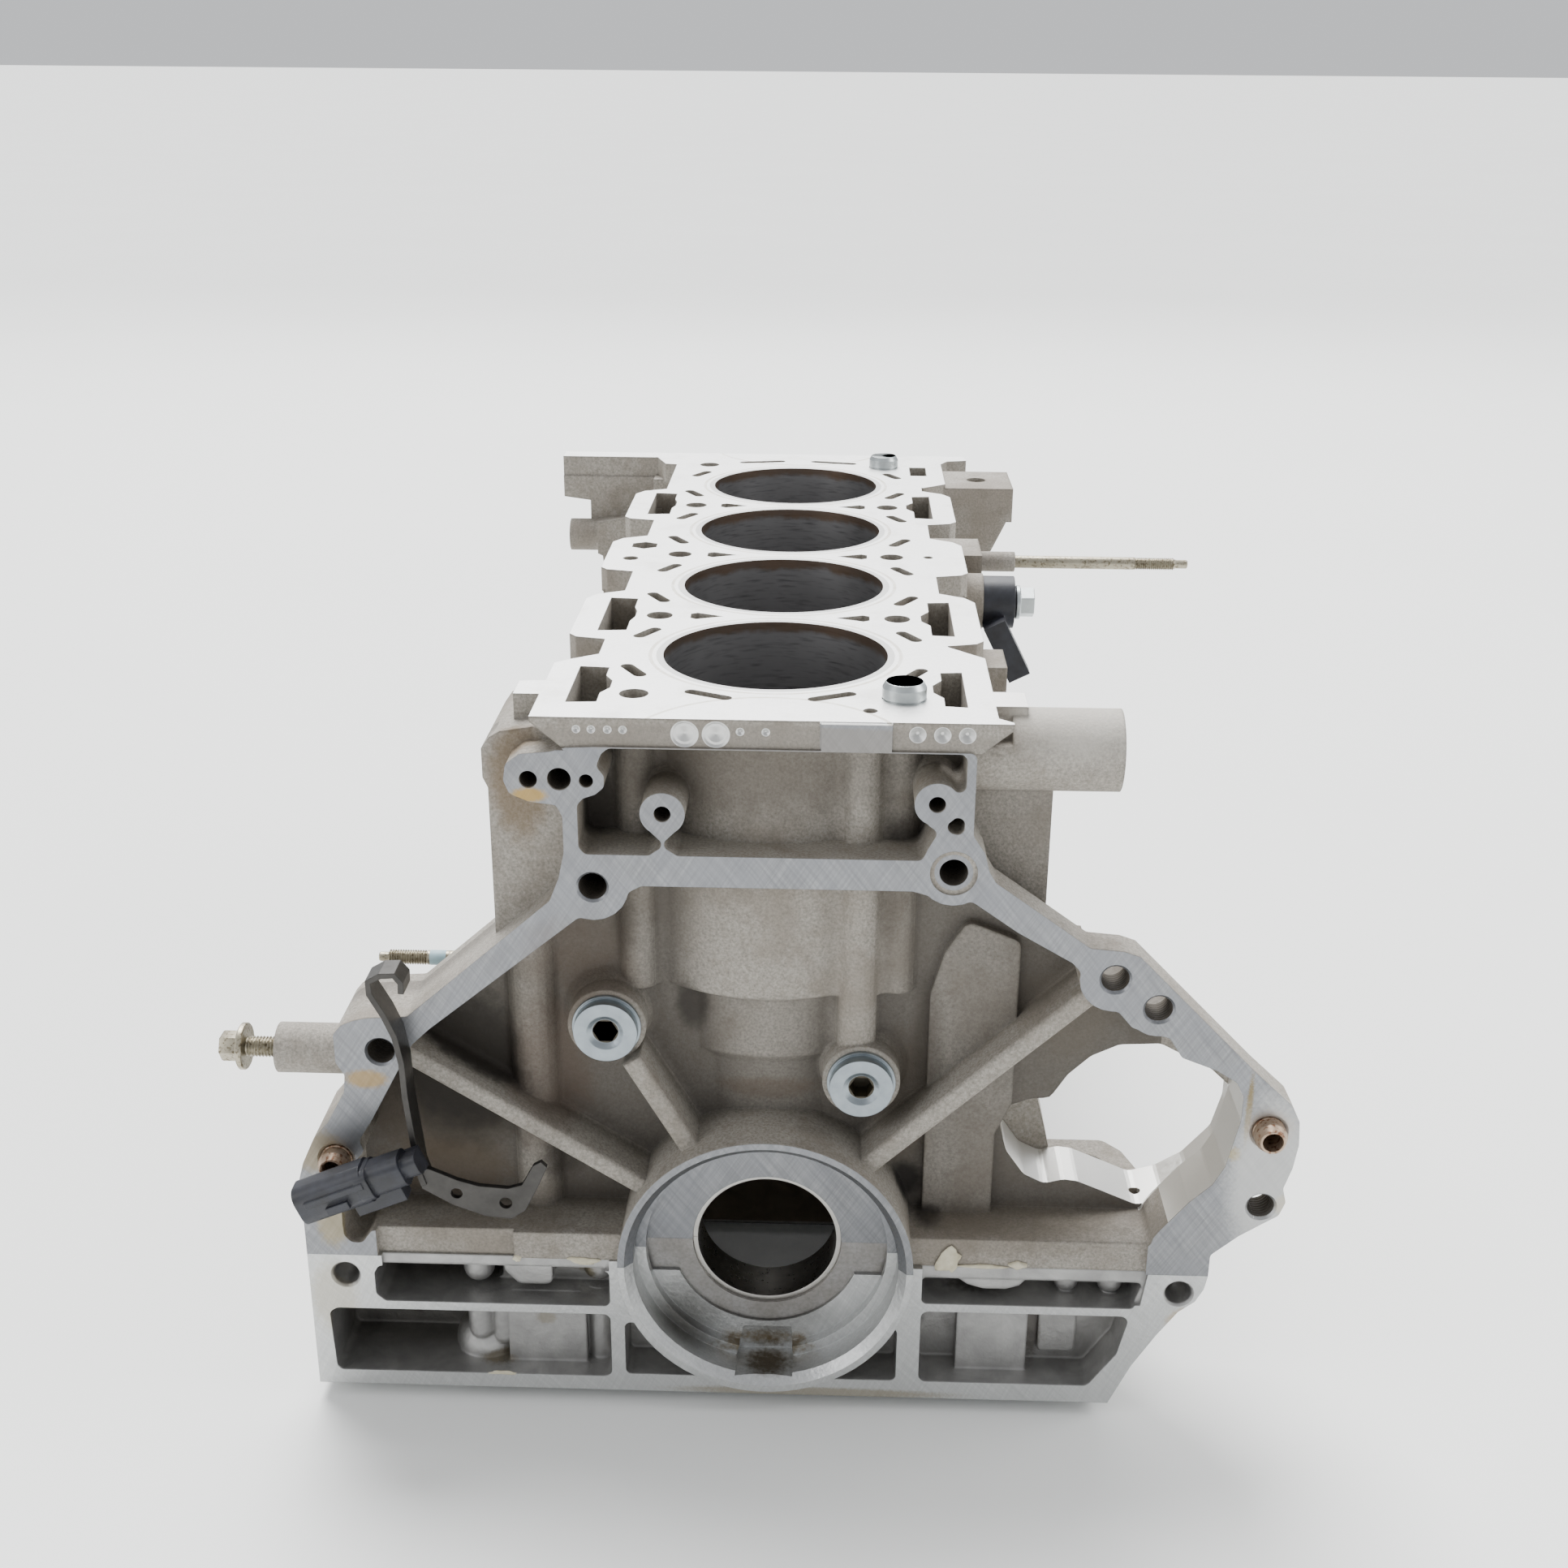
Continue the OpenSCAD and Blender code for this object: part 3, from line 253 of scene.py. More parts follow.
# holes of the rear face and drilled marks in the deck's edge: x, z and radius in mm
gearbox_holes = [(-62.6, 159.9, 5.3), (66.3, 168, 5.3), (126.4, 127.2, 5.3), (143, 115.4, 5.3),
                 (188.1, 32.1, 5.3), (-143.9, 90.7, 5.3)]
flange_holes = gearbox_holes + [(-84, 200.9, 3.4), (-73.1, 201.2, 4.4), (-63.6, 200.7, 2.7),
                                (-37.1, 188.6, 3.2), (59.5, 194.1, 3.2)]
strip_marks = [(-66.6, 219.6, 1.5), (-61.4, 219.6, 1.5), (-55.7, 219.6, 1.5), (-50.4, 219.6, 1.5),
               (-28.9, 218.4, 4.9), (-18, 218.4, 4.9), (-9.6, 219.6, 1.5), (-0.7, 219.6, 1.5),
               (51.8, 219.6, 3), (60.4, 219.6, 3), (69, 219.6, 3)]


def cast_aluminium():
    """Sand-cast aluminium: dull warm grey with a fine grain, browned by oil, darkened by painted
    shade in its pockets and bays, and bright where it was milled."""
    mat, tree, skin, place = finish("cast_aluminium")
    point = place.outputs["Object"]
    flats = shared_cuts(tree, place) + [
        patch(tree, place, DECK, (0, 0, 1)),
        # the pad in the deck's rear edge, the parting face, and the ends of the side bosses
        patch(tree, place, (18, 43.2, -1, 1.5, 212, 225), (0, -1, 0)),
        patch(tree, place, (None, None, None, None, -1, 0.2), (0, 0, -1)),
        patch(tree, place, (124.5, 126, 5, 45, 185, 225), (1, 0, 0)),
        patch(tree, place, (-187, -185.5, None, None, 60, 100), (-1, 0, 0)),
        patch(tree, place, (90, 92, None, None, 190, 222), (1, 0, 0)),
    ]
    # the machined wall of the starter opening is blank metal right up to the face of the flange,
    # painted near white for the light from above that falls on it
    blank_and_lit_wall = any_of(tree, [patch(tree, place, (92, 182, 24, 50.2, 13, 88)),
                          patch(tree, place, (146, 186, 0.3, 24.5, 24, 88))])
    blank_and_lit_wall = both(tree, blank_and_lit_wall, facing_in(tree, place, STARTER_CENTRE))
    # the countersinks of the gearbox holes and the drilled marks in the deck's edge are clean metal
    sunk_rims = drilled(tree, place, [(x, z, r + 1.6) for x, z, r in gearbox_holes], -0.3, 1.2)
    edge_marks = drilled(tree, place, strip_marks, 0.9, 4)
    bright = any_of(tree, flats + [blank_and_lit_wall, sunk_rims, edge_marks])
    # sand grain, 1.1 mm, coarse enough to show in the picture
    grain = add(tree, "TexNoise", {}, {"Vector": point, "Scale": 1 / (1.1 * MM), "Detail": 3.0,
                                       "Roughness": 0.7})
    # slow change of colour over the walls, about 45 mm, and a broken one of 9 mm
    cloud = add(tree, "TexNoise", {}, {"Vector": point, "Scale": 1 / (45 * MM), "Detail": 4.0,
                                       "Roughness": 0.6})
    mottle = add(tree, "TexNoise", {}, {"Vector": point, "Scale": 1 / (9 * MM), "Detail": 4.0,
                                        "Roughness": 0.65})
    sand = add(tree, "MapRange", {}, {0: grain.outputs["Fac"], 1: 0.3, 2: 0.7, 3: 0.0, 4: 1.0})
    skin_tone = tint(tree, sand.outputs[0], "#807c74", "#aea89f")
    film = add(tree, "MapRange", {"interpolation_type": "SMOOTHSTEP"},
               {0: cloud.outputs["Fac"], 1: 0.42, 2: 0.66, 3: 0.0, 4: 0.6})
    skin_tone = tint(tree, film.outputs[0], skin_tone, "#7d7468")
    oily = add(tree, "MapRange", {"interpolation_type": "SMOOTHSTEP"},
               {0: mottle.outputs["Fac"], 1: 0.52, 2: 0.72, 3: 0.0, 4: 0.35})
    skin_tone = tint(tree, oily.outputs[0], skin_tone, "#6d645a")
    # grime and painted shade on the sunk wall of the pockets, darker the deeper the wall lies
    axes = add(tree, "SeparateXYZ", {}, {0: point})
    along = add(tree, "VectorMath", {"operation": "DOT_PRODUCT"},
                {0: place.outputs["Normal"], 1: (0, -1, 0)})
    sunk = add(tree, "MapRange", {"interpolation_type": "SMOOTHSTEP"},
               {0: axes.outputs[1], 1: 15 * MM, 2: 26.5 * MM, 3: 0.0, 4: 0.8})
    rear = add(tree, "MapRange", {"interpolation_type": "SMOOTHSTEP"},
               {0: along.outputs["Value"], 1: 0.1, 2: 0.7, 3: 0.0, 4: 1.0})
    pocket = patch(tree, place, (-160, 150, 8, 29, 11, 212))
    # and painted shade on every surface deep in the pockets, in the corners where the ribs and
    # columns rise from it
    corner = add(tree, "MapRange", {"interpolation_type": "SMOOTHSTEP"},
                 {0: axes.outputs[1], 1: 14 * MM, 2: 26 * MM, 3: 0.0, 4: 0.55})
    grime_and_painted_shade = any_of(tree, [both(tree, sunk.outputs[0], rear.outputs[0]), corner.outputs[0]])
    # the pockets are painted darker: grime, and painted shade where the wall lies deep
    skin_tone = tint(tree, both(tree, grime_and_painted_shade, pocket), skin_tone, "#4f4a44")
    # the crank bays are brown with oil, and painted dark as painted shade inside them
    skin_tone = tint(tree, oiled_and_shaded_bays(tree, place, -2, 112), skin_tone,
                     tint(tree, mottle.outputs["Fac"], "#2f2923", "#5d5245"))
    # milled faces: crossed cutter marks, scratches and bluish clouds
    marks = crossed_marks(tree, place, (32, -38))
    lines = add(tree, "MapRange", {}, {0: marks, 1: 0.12, 2: 0.42, 3: 0.0, 4: 1.0})
    dull = add(tree, "TexNoise", {}, {"Vector": point, "Scale": 1 / (22 * MM), "Detail": 5.0,
                                      "Roughness": 0.65})
    milled = tint(tree, lines.outputs[0], "#77787b", "#909192")
    milled = tint(tree, blend_value(tree, dull.outputs["Fac"], -0.5, 1.2), milled, "#84868b")
    # the deck is painted near white, brighter than the other milled faces, as a painted highlight
    # for the light from above
    deck_lit_tone = tint(tree, lines.outputs[0], "#ececea", "#fbfbfa")
    # the gasket left a warm print round each bore
    from_bore = add(tree, "Math", {"operation": "SUBTRACT"},
                    {0: axes.outputs[1], 1: FIRST_BORE_Y * MM})
    pitch = add(tree, "Math", {"operation": "WRAP"},
                {0: from_bore.outputs[0], 1: BORE_PITCH / 2 * MM, 2: -BORE_PITCH / 2 * MM})
    flat = add(tree, "CombineXYZ", {}, {0: axes.outputs[0], 1: pitch.outputs[0]})
    away = add(tree, "VectorMath", {"operation": "LENGTH"}, {0: flat.outputs[0]})
    print_line = add(tree, "Math", {"operation": "COMPARE"},
                     {0: away.outputs["Value"], 1: GASKET_PRINT_RADIUS * MM, 2: 0.7 * MM})
    worn_print = both(tree, print_line.outputs[0], mottle.outputs["Fac"])
    deck_lit_tone = tint(tree, worn_print, deck_lit_tone, "#a59a86")
    smudge = add(tree, "MapRange", {"interpolation_type": "SMOOTHSTEP"},
                 {0: dull.outputs["Fac"], 1: 0.5, 2: 0.75, 3: 0.0, 4: 0.5})
    deck_lit_tone = tint(tree, smudge.outputs[0], deck_lit_tone, "#cbc9c3")
    milled = tint(tree, patch(tree, place, DECK), milled, deck_lit_tone)
    tone = stained(tree, tint(tree, bright, skin_tone, milled), [
        # rust and dried oil on the rear face
        (stain(tree, place, (-84, 0, 195), (8, 3, 3.5)), "#a5863f", 0.75),
        (stain(tree, place, (179.5, 0, 74), (1.6, 3, 20), 0.6, 0.9), "#7a6a42", 0.8),
        (stain(tree, place, (176, 0, 55), (3.2, 3, 4), 0.6, 0.9), "#8b7b49", 0.8),
        (stain(tree, place, (188, 0, 66), (11, 4, 10)), "#8f6a3c", 0.5),
        (stain(tree, place, (196, 0, 33), (4, 3, 6)), "#a08a4e", 0.6),
        (stain(tree, place, (-150, 0, 79), (10, 8, 5)), "#9b7d3b", 0.6),
        (stain(tree, place, (-172, 0, 47), (14, 5, 12)), "#8d7c55", 0.5),
        (stain(tree, place, (-168, 0, 15), (8, 6, 14)), "#94834f", 0.45),
        # old oil and painted shade on the sunk walls, then painted shade at its darkest, in the
        # corners
        (stain(tree, place, (-90, 12, 195), (14, 12, 30)), "#6b5636", 0.6),
        (stain(tree, place, (-86, 26, 70), (22, 26, 40)), "#5b4c40", 0.55),
        (stain(tree, place, (-70, 10, 118), (30, 30, 36)), "#5f5144", 0.5),
        (stain(tree, place, (-130, 26, 60), (44, 16, 42)), "#4f463b", 0.75),
        (stain(tree, place, (-128, 26, 24), (34, 20, 18)), "#574b3c", 0.6),
        (stain(tree, place, (52, 26, 60), (16, 18, 40)), "#5e5549", 0.5),
        (stain(tree, place, (112, 26, 100), (22, 22, 26)), "#6a6257", 0.4),
        (stain(tree, place, (54, 26, 24), (9, 14, 11), 0.6, 0.3), "#1f1b18", 0.9),
        (stain(tree, place, (63, 20, 10), (9, 16, 7), 0.6, 0.3), "#1f1b18", 0.85),
        (stain(tree, place, (61, 26, 88), (9, 12, 38), 0.7, 0.3), "#443d35", 0.6),
        (stain(tree, place, (-29, 26, 101), (9, 12, 16), 0.6, 0.3), "#2f2a25", 0.8),
        (stain(tree, place, (-82, 26, 33), (16, 12, 15), 0.6, 0.3), "#38322c", 0.7),
        (stain(tree, place, (-64, 26, 183), (11, 15, 20), 0.6, 0.3), "#2f2a25", 0.8),
        (stain(tree, place, (49, 26, 170), (10, 15, 18), 0.6, 0.3), "#2f2a25", 0.75),
        # painted highlight on the top of the right upper boss, where the light falls, and a lighter
        # patch on the right limb of the flange
        (stain(tree, place, (108, 24, 219), (34, 34, 20), 0.7, 0.3), "#d6d2ca", 0.5),
        (stain(tree, place, (190, 0, 45), (20, 4, 46), 0.5, 0.3), "#c6c6c4", 0.55),
        # the deck's rear edge is dull
        (stain(tree, place, (0, 1, 217), (96, 6, 6), 0.25, 0.2), "#827c74", 0.5),
        # dirt and painted shade beside the barrel, over the parting face, behind the head columns
        # and in the left pocket
        (stain(tree, place, (-53, 26, 139), (9, 12, 26), 0.6, 0.3), "#443d35", 0.65),
        (stain(tree, place, (45, 26, 148), (9, 14, 26), 0.5, 0.4), "#544c42", 0.55),
        (stain(tree, place, (100, 14, 10), (52, 20, 9), 0.6, 0.4), "#6a6154", 0.6),
        (stain(tree, place, (0, 28, 66), (24, 30, 6)), "#5f5244", 0.5),
        (stain(tree, place, (-4, 22, 198), (64, 22, 28), 0.6, 0.4), "#554e45", 0.7),
        (stain(tree, place, (-118, 26, 72), (36, 16, 42), 0.5, 0.3), "#28241f", 0.88),
    ])
    # the machined wall of the starter opening, painted near white: a painted highlight from the
    # light above
    tone = tint(tree, blank_and_lit_wall, tone, "#e9e8e4")
    tone = tint(tree, edge_marks, tone, "#cdcdcb")
    # the insides of the holes are darkened
    bored = drilled(tree, place, flange_holes, 1.2, 60)
    tone = tint(tree, both(tree, bored, 0.85), tone, "#3b342b")
    tree.links.new(tone, skin.inputs["Base Color"])
    tree.links.new(blend_value(tree, bright, 0.28, 0.92), skin.inputs["Metallic"])
    worn = blend_value(tree, lines.outputs[0], 0.48, 0.34)
    rough = add(tree, "MapRange", {}, {0: bright, 1: 0.0, 2: 1.0, 3: 0.74, 4: worn})
    tree.links.new(rough.outputs[0], skin.inputs["Roughness"])
    # soft cast corners, crisp milled ones
    edge = add(tree, "Bevel", {"samples": 4},
               {"Radius": blend_value(tree, bright, 1.8 * MM, 0.3 * MM)})
    height = add(tree, "Mix", {"data_type": "FLOAT"}, {0: bright, 2: grain.outputs["Fac"]})
    tree.links.new(both(tree, lines.outputs[0], 0.05), height.inputs[3])
    # threads: at a scale of 1 the bands of a wave lie 0.314 apart
    thread = add(tree, "TexWave", {"bands_direction": "Y"},
                 {"Vector": point, "Scale": 0.314 / (THREAD_PITCH * MM)})
    height = add(tree, "Mix", {"data_type": "FLOAT"},
                 {0: bored, 2: height.outputs[0], 3: thread.outputs["Fac"]})
    bump = add(tree, "Bump", {}, {"Strength": 0.6, "Distance": 0.4 * MM,
                                  "Height": height.outputs[0], "Normal": edge.outputs[0]})
    tree.links.new(bump.outputs[0], skin.inputs["Normal"])
    return mat


def die_cast_aluminium():
    """Die-cast aluminium of the bedplate: smoother and greyer than the block, with a flowing
    sheen."""
    mat, tree, skin, place = finish("die_cast_aluminium")
    point = place.outputs["Object"]
    bright = any_of(tree, shared_cuts(tree, place) + [
        # the parting face and the sump face
        patch(tree, place, (None, None, None, None, -0.2, 1), (0, 0, 1)),
        patch(tree, place, (None, None, None, None, -62, -61.3), (0, 0, -1)),
    ])
    # the metal's flow, 14 mm, and a grain of 1.6 mm, coarse enough to show
    flow = add(tree, "TexNoise", {}, {"Vector": point, "Scale": 1 / (14 * MM), "Detail": 5.0,
                                      "Roughness": 0.55, "Distortion": 0.6})
    grain = add(tree, "TexNoise", {}, {"Vector": point, "Scale": 1 / (1.6 * MM), "Detail": 2.0})
    cast = tint(tree, flow.outputs["Fac"], "#777675", "#c4c3c1")
    # painted shade in the depth of the open cells, darker the deeper they go
    axes = add(tree, "SeparateXYZ", {}, {0: point})
    deep = add(tree, "MapRange", {"interpolation_type": "SMOOTHSTEP"},
               {0: axes.outputs[1], 1: 9 * MM, 2: 27 * MM, 3: 0.0, 4: 0.75})
    cast = tint(tree, deep.outputs[0], cast, tint(tree, flow.outputs["Fac"], "#3f3b36", "#77746e"))
    milled = tint(tree, crossed_marks(tree, place, (25, -45)), "#aeafaf", "#e2e3e2")
    # the crank bays are brown with oil, and painted dark as painted shade inside them
    cast = tint(tree, oiled_and_shaded_bays(tree, place, -60, 0.2), cast,
                tint(tree, flow.outputs["Fac"], "#3a332b", "#6b6052"))
    tone = stained(tree, tint(tree, bright, cast, milled), [
        # brown oil under the seal ring, then the shade of the cells beside it
        (stain(tree, place, (1, 7, -49), (13, 12, 5.5), 0.5, 0.6), "#4e3d16", 0.8),
        (stain(tree, place, (-1, 12, -46), (26, 8, 5), 0.6, 0.8), "#6a551f", 0.7),
        (stain(tree, place, (-30, 9, -30), (24, 12, 28), 0.8, 0.15), "#3f3b33", 0.75),
        (stain(tree, place, (4, 17, -34), (48, 4, 15), 0.8, 0.15), "#46423a", 0.8),
        # dried oil on the rear face, then dirt and painted shade in the cells
        (stain(tree, place, (-170, 0, -20), (12, 5, 22)), "#9a8c60", 0.3),
        (stain(tree, place, (20, 0, -60), (70, 4, 3)), "#7c6a3c", 0.5),
        (stain(tree, place, (-140, 28, -36), (34, 16, 17)), "#3b352c", 0.8),
        (stain(tree, place, (-132, 28, -12), (26, 16, 9)), "#3b352c", 0.7),
        (stain(tree, place, (-73, 12, -14), (7, 8, 5)), "#5c5026", 0.7),
        (stain(tree, place, (-108, 12, -55), (10, 8, 4)), "#6a5a2a", 0.5),
        (stain(tree, place, (84, 14, -13), (20, 8, 6)), "#3d372e", 0.7),
        (stain(tree, place, (107, 16, -40), (4, 8, 16)), "#4a433a", 0.6),
        (stain(tree, place, (-88, 9, -34), (5, 4, 4)), "#857a5c", 0.4),
        (stain(tree, place, (163, 0, -22), (8, 6, 8)), "#a8853f", 0.5),
    ])
    tree.links.new(tone, skin.inputs["Base Color"])
    tree.links.new(blend_value(tree, bright, 0.75, 1.0), skin.inputs["Metallic"])
    tree.links.new(blend_value(tree, flow.outputs["Fac"], 0.5, 0.34), skin.inputs["Roughness"])
    edge = add(tree, "Bevel", {"samples": 4},
               {"Radius": blend_value(tree, bright, 1.6 * MM, 0.3 * MM)})
    height = add(tree, "Math", {"operation": "MULTIPLY_ADD"},
                 {0: flow.outputs["Fac"], 1: 1.6, 2: grain.outputs["Fac"]})
    bump = add(tree, "Bump", {}, {"Strength": 0.4, "Distance": 0.4 * MM,
                                  "Height": height.outputs[0], "Normal": edge.outputs[0]})
    tree.links.new(bump.outputs[0], skin.inputs["Normal"])
    return mat


def cast_iron():
    """Cast iron of the bearing cap inserts, ground on its faces: dark grey with a dry grain."""
    mat, tree, skin, place = finish("ground_cast_iron")
    point = place.outputs["Object"]
    grain = add(tree, "TexNoise", {}, {"Vector": point, "Scale": 1 / (1.2 * MM), "Detail": 3.0})
    cloud = add(tree, "TexNoise", {}, {"Vector": point, "Scale": 1 / (12 * MM), "Detail": 3.0})
    tone = tint(tree, grain.outputs["Fac"], "#7a7877", "#aaa8a6")
    tone = tint(tree, blend_value(tree, cloud.outputs["Fac"], -0.2, 0.6), tone, "#6d665b")
    tree.links.new(tone, skin.inputs["Base Color"])
    skin.inputs["Metallic"].default_value = 0.9
    tree.links.new(blend_value(tree, cloud.outputs["Fac"], 0.38, 0.55), skin.inputs["Roughness"])
    bump = add(tree, "Bump", {}, {"Strength": 0.25, "Distance": 0.2 * MM,
                                  "Height": grain.outputs["Fac"]})
    tree.links.new(bump.outputs[0], skin.inputs["Normal"])
    return mat


def honed_iron():
    """Honed iron of the liners: dark satin grey with crossed hone marks and a thin band of
    carbon and rust at the top."""
    mat, tree, skin, place = finish("honed_liner_iron")
    point = place.outputs["Object"]
    axes = add(tree, "SeparateXYZ", {}, {0: point})
    smear = add(tree, "TexNoise", {}, {"Vector": point, "Scale": 1 / (16 * MM), "Detail": 5.0,
                                       "Roughness": 0.6})
    lay = [add(tree, "Mapping", {}, {"Vector": point, "Rotation": (0, math.radians(turn), 0),
                                     "Scale": (0.12, 0.12, 1.0)}) for turn in (24, -24)]
    # hone marks drawn 1 mm apart, because the real ones are too fine to show
    hone = [add(tree, "TexNoise", {}, {"Vector": m.outputs[0], "Scale": 1 / (1.0 * MM),
                                       "Detail": 1.0}) for m in lay]
    cross = add(tree, "Math", {"operation": "ADD"},
                {0: hone[0].outputs["Fac"], 1: hone[1].outputs["Fac"]})
    tone = tint(tree, blend_value(tree, cross.outputs[0], -0.5, 1.0), "#605f60", "#949394")
    rim = add(tree, "Math", {"operation": "MULTIPLY_ADD"},
              {0: smear.outputs["Fac"], 1: 7 * MM, 2: axes.outputs[2]})
    band = add(tree, "MapRange", {"interpolation_type": "SMOOTHSTEP"},
               {0: rim.outputs[0], 1: 222 * MM, 2: 225 * MM, 3: 0.0, 4: 0.75})
    rust = tint(tree, smear.outputs["Fac"], "#4c4138", "#8a6a48")
    tone = tint(tree, band.outputs[0], tone, rust)
    top = patch(tree, place, (None, None, None, None, 223.5, 225), (0, 0, 1))
    tone = tint(tree, top, tone, "#c4c4c2")
    tree.links.new(tone, skin.inputs["Base Color"])
    skin.inputs["Metallic"].default_value = 0.85
    tree.links.new(blend_value(tree, smear.outputs["Fac"], 0.5, 0.34), skin.inputs["Roughness"])
    bump = add(tree, "Bump", {}, {"Strength": 0.12, "Distance": 0.1 * MM,
                                  "Height": cross.outputs[0]})
    tree.links.new(bump.outputs[0], skin.inputs["Normal"])
    return mat


def plain_metal(name, low, high, rough, grain_mm, metallic=1.0, bump=0.15, spot=None):
    """A turned or plated metal: two close tones in soft clouds, fine grain in its polish."""
    mat, tree, skin, place = finish(name)
    point = place.outputs["Object"]
    cloud = add(tree, "TexNoise", {}, {"Vector": point, "Scale": 1 / (6 * MM), "Detail": 4.0,
                                       "Roughness": 0.6})
    grain = add(tree, "TexNoise", {}, {"Vector": point, "Scale": 1 / (grain_mm * MM),
                                       "Detail": 2.0})
    tone = tint(tree, cloud.outputs["Fac"], low, high)
    if spot:
        worn = add(tree, "MapRange", {"interpolation_type": "SMOOTHSTEP"},
                   {0: grain.outputs["Fac"], 1: 0.5, 2: 0.68, 3: 0.0, 4: 0.8})
        tone = tint(tree, worn.outputs[0], tone, spot)
    tree.links.new(tone, skin.inputs["Base Color"])
    skin.inputs["Metallic"].default_value = metallic
    spread = 0.08
    tree.links.new(blend_value(tree, grain.outputs["Fac"], rough - spread, rough + spread),
                   skin.inputs["Roughness"])
    edge = add(tree, "Bevel", {"samples": 4}, {"Radius": 0.5 * MM})
    up = add(tree, "Bump", {}, {"Strength": bump, "Distance": 0.15 * MM,
                                "Height": grain.outputs["Fac"], "Normal": edge.outputs[0]})
    tree.links.new(up.outputs[0], skin.inputs["Normal"])
    return mat


def plug_zinc(centres):
    """Zinc plate of the screw plugs, satin and bluish, with old oil down in the hexagon sockets."""
    mat, tree, skin, place = finish("satin_zinc_plate")
    cloud = add(tree, "TexNoise", {}, {"Vector": place.outputs["Object"], "Scale": 1 / (5 * MM),
                                       "Detail": 4.0})
    socket_radius = 4.9
    oil = any_of(tree, [round_patch(tree, place, (x, z), socket_radius, y + 0.8, y + 30)
                        for x, y, z in centres])
    tone = tint(tree, oil, tint(tree, cloud.outputs["Fac"], "#788086", "#a5adb2"), "#3a3426")
    tree.links.new(tone, skin.inputs["Base Color"])
    tree.links.new(blend_value(tree, oil, 0.95, 0.3), skin.inputs["Metallic"])
    tree.links.new(blend_value(tree, cloud.outputs["Fac"], 0.26, 0.44), skin.inputs["Roughness"])
    edge = add(tree, "Bevel", {"samples": 4}, {"Radius": 0.4 * MM})
    tree.links.new(edge.outputs[0], skin.inputs["Normal"])
    return mat


def moulded_plastic():
    """Glass-filled nylon of the connector and the sensor: near black with a blue cast and a
    dusty satin skin from the mould."""
    mat, tree, skin, place = finish("moulded_glass_filled_nylon")
    point = place.outputs["Object"]
    dust = add(tree, "TexNoise", {}, {"Vector": point, "Scale": 1 / (7 * MM), "Detail": 5.0,
                                      "Roughness": 0.65})
    grain = add(tree, "TexNoise", {}, {"Vector": point, "Scale": 1 / (0.7 * MM), "Detail": 2.0})
    film = add(tree, "MapRange", {}, {0: dust.outputs["Fac"], 1: 0.35, 2: 0.7, 3: 0.0, 4: 0.8})
    tree.links.new(tint(tree, film.outputs[0], "#14151b", "#2c2e38"), skin.inputs["Base Color"])
    tree.links.new(blend_value(tree, dust.outputs["Fac"], 0.34, 0.58), skin.inputs["Roughness"])
    skin.inputs["IOR"].default_value = 1.53
    edge = add(tree, "Bevel", {"samples": 4}, {"Radius": 0.7 * MM})
    up = add(tree, "Bump", {}, {"Strength": 0.2, "Distance": 0.12 * MM,
                                "Height": grain.outputs["Fac"], "Normal": edge.outputs[0]})
    tree.links.new(up.outputs[0], skin.inputs["Normal"])
    return mat


def cured_sealant():
    """Room-temperature sealant squeezed out of the joint: cream, rubbery, a little soiled."""
    mat, tree, skin, place = finish("cured_silicone_sealant")
    soil = add(tree, "TexNoise", {}, {"Vector": place.outputs["Object"], "Scale": 1 / (3 * MM),
                                      "Detail": 4.0})
    tree.links.new(tint(tree, soil.outputs["Fac"], "#a39a7c", "#dcd6c2"), skin.inputs["Base Color"])
    tree.links.new(blend_value(tree, soil.outputs["Fac"], 0.7, 0.45), skin.inputs["Roughness"])
    skin.inputs["IOR"].default_value = 1.41
    bump = add(tree, "Bump", {}, {"Strength": 0.3, "Distance": 0.3 * MM,
                                  "Height": soil.outputs["Fac"]})
    tree.links.new(bump.outputs[0], skin.inputs["Normal"])
    return mat


finishes = {
    "cast_aluminium": cast_aluminium(),
    "bedplate_aluminium": die_cast_aluminium(),
    "cast_iron": cast_iron(),
    "liner_iron": honed_iron(),
    # tin-aluminium running layer of the shells, satin
    "bearing_metal": plain_metal("tin_aluminium_bearing_layer", "#a7a5a1", "#cfccc6", 0.3, 1.5,
                                 bump=0.05),
    # black-oxide steel of the hidden bolts
    "bolt_steel": plain_metal("black_oxide_steel", "#2f2d2b", "#494642", 0.45, 0.8),
    # bright zinc on the turned plugs and sleeves
    "zinc_steel": plain_metal("bright_zinc_plate", "#a3a9ab", "#cdd3d3", 0.36, 2.4, bump=0.04),
    # yellow-passivated zinc gone dull and brown
    "yellow_zinc_steel": plain_metal("aged_yellow_zinc", "#7f7868", "#c2bba8", 0.4, 1.1,
                                     spot="#5e5442"),
    # spring steel sleeves with rust
    "rusty_steel": plain_metal("rusted_sleeve_steel", "#8d735c", "#c9b7a4", 0.45, 1.6, 0.8, 0.3,
                               "#6d3f22"),
    # zinc-flake coated sheet steel of the harness bracket
    "bracket_steel": plain_metal("coated_sheet_steel", "#353432", "#52504e", 0.42, 1.6, 0.85, 0.1),
    "black_plastic": moulded_plastic(),
}
plug_faces = []
for name in plugs:
    low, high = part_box(name)
    plug_faces.append(((low[0] + high[0]) / 2 / MM, low[1] / MM, (low[2] + high[2]) / 2 / MM))
plug_finish = plug_zinc(plug_faces)
# quick-drying marking paint on the left stud
marking_paint = plain_metal("blue_marking_paint", "#8fb0bd", "#b3ccd3", 0.5, 1.0, metallic=0.0)

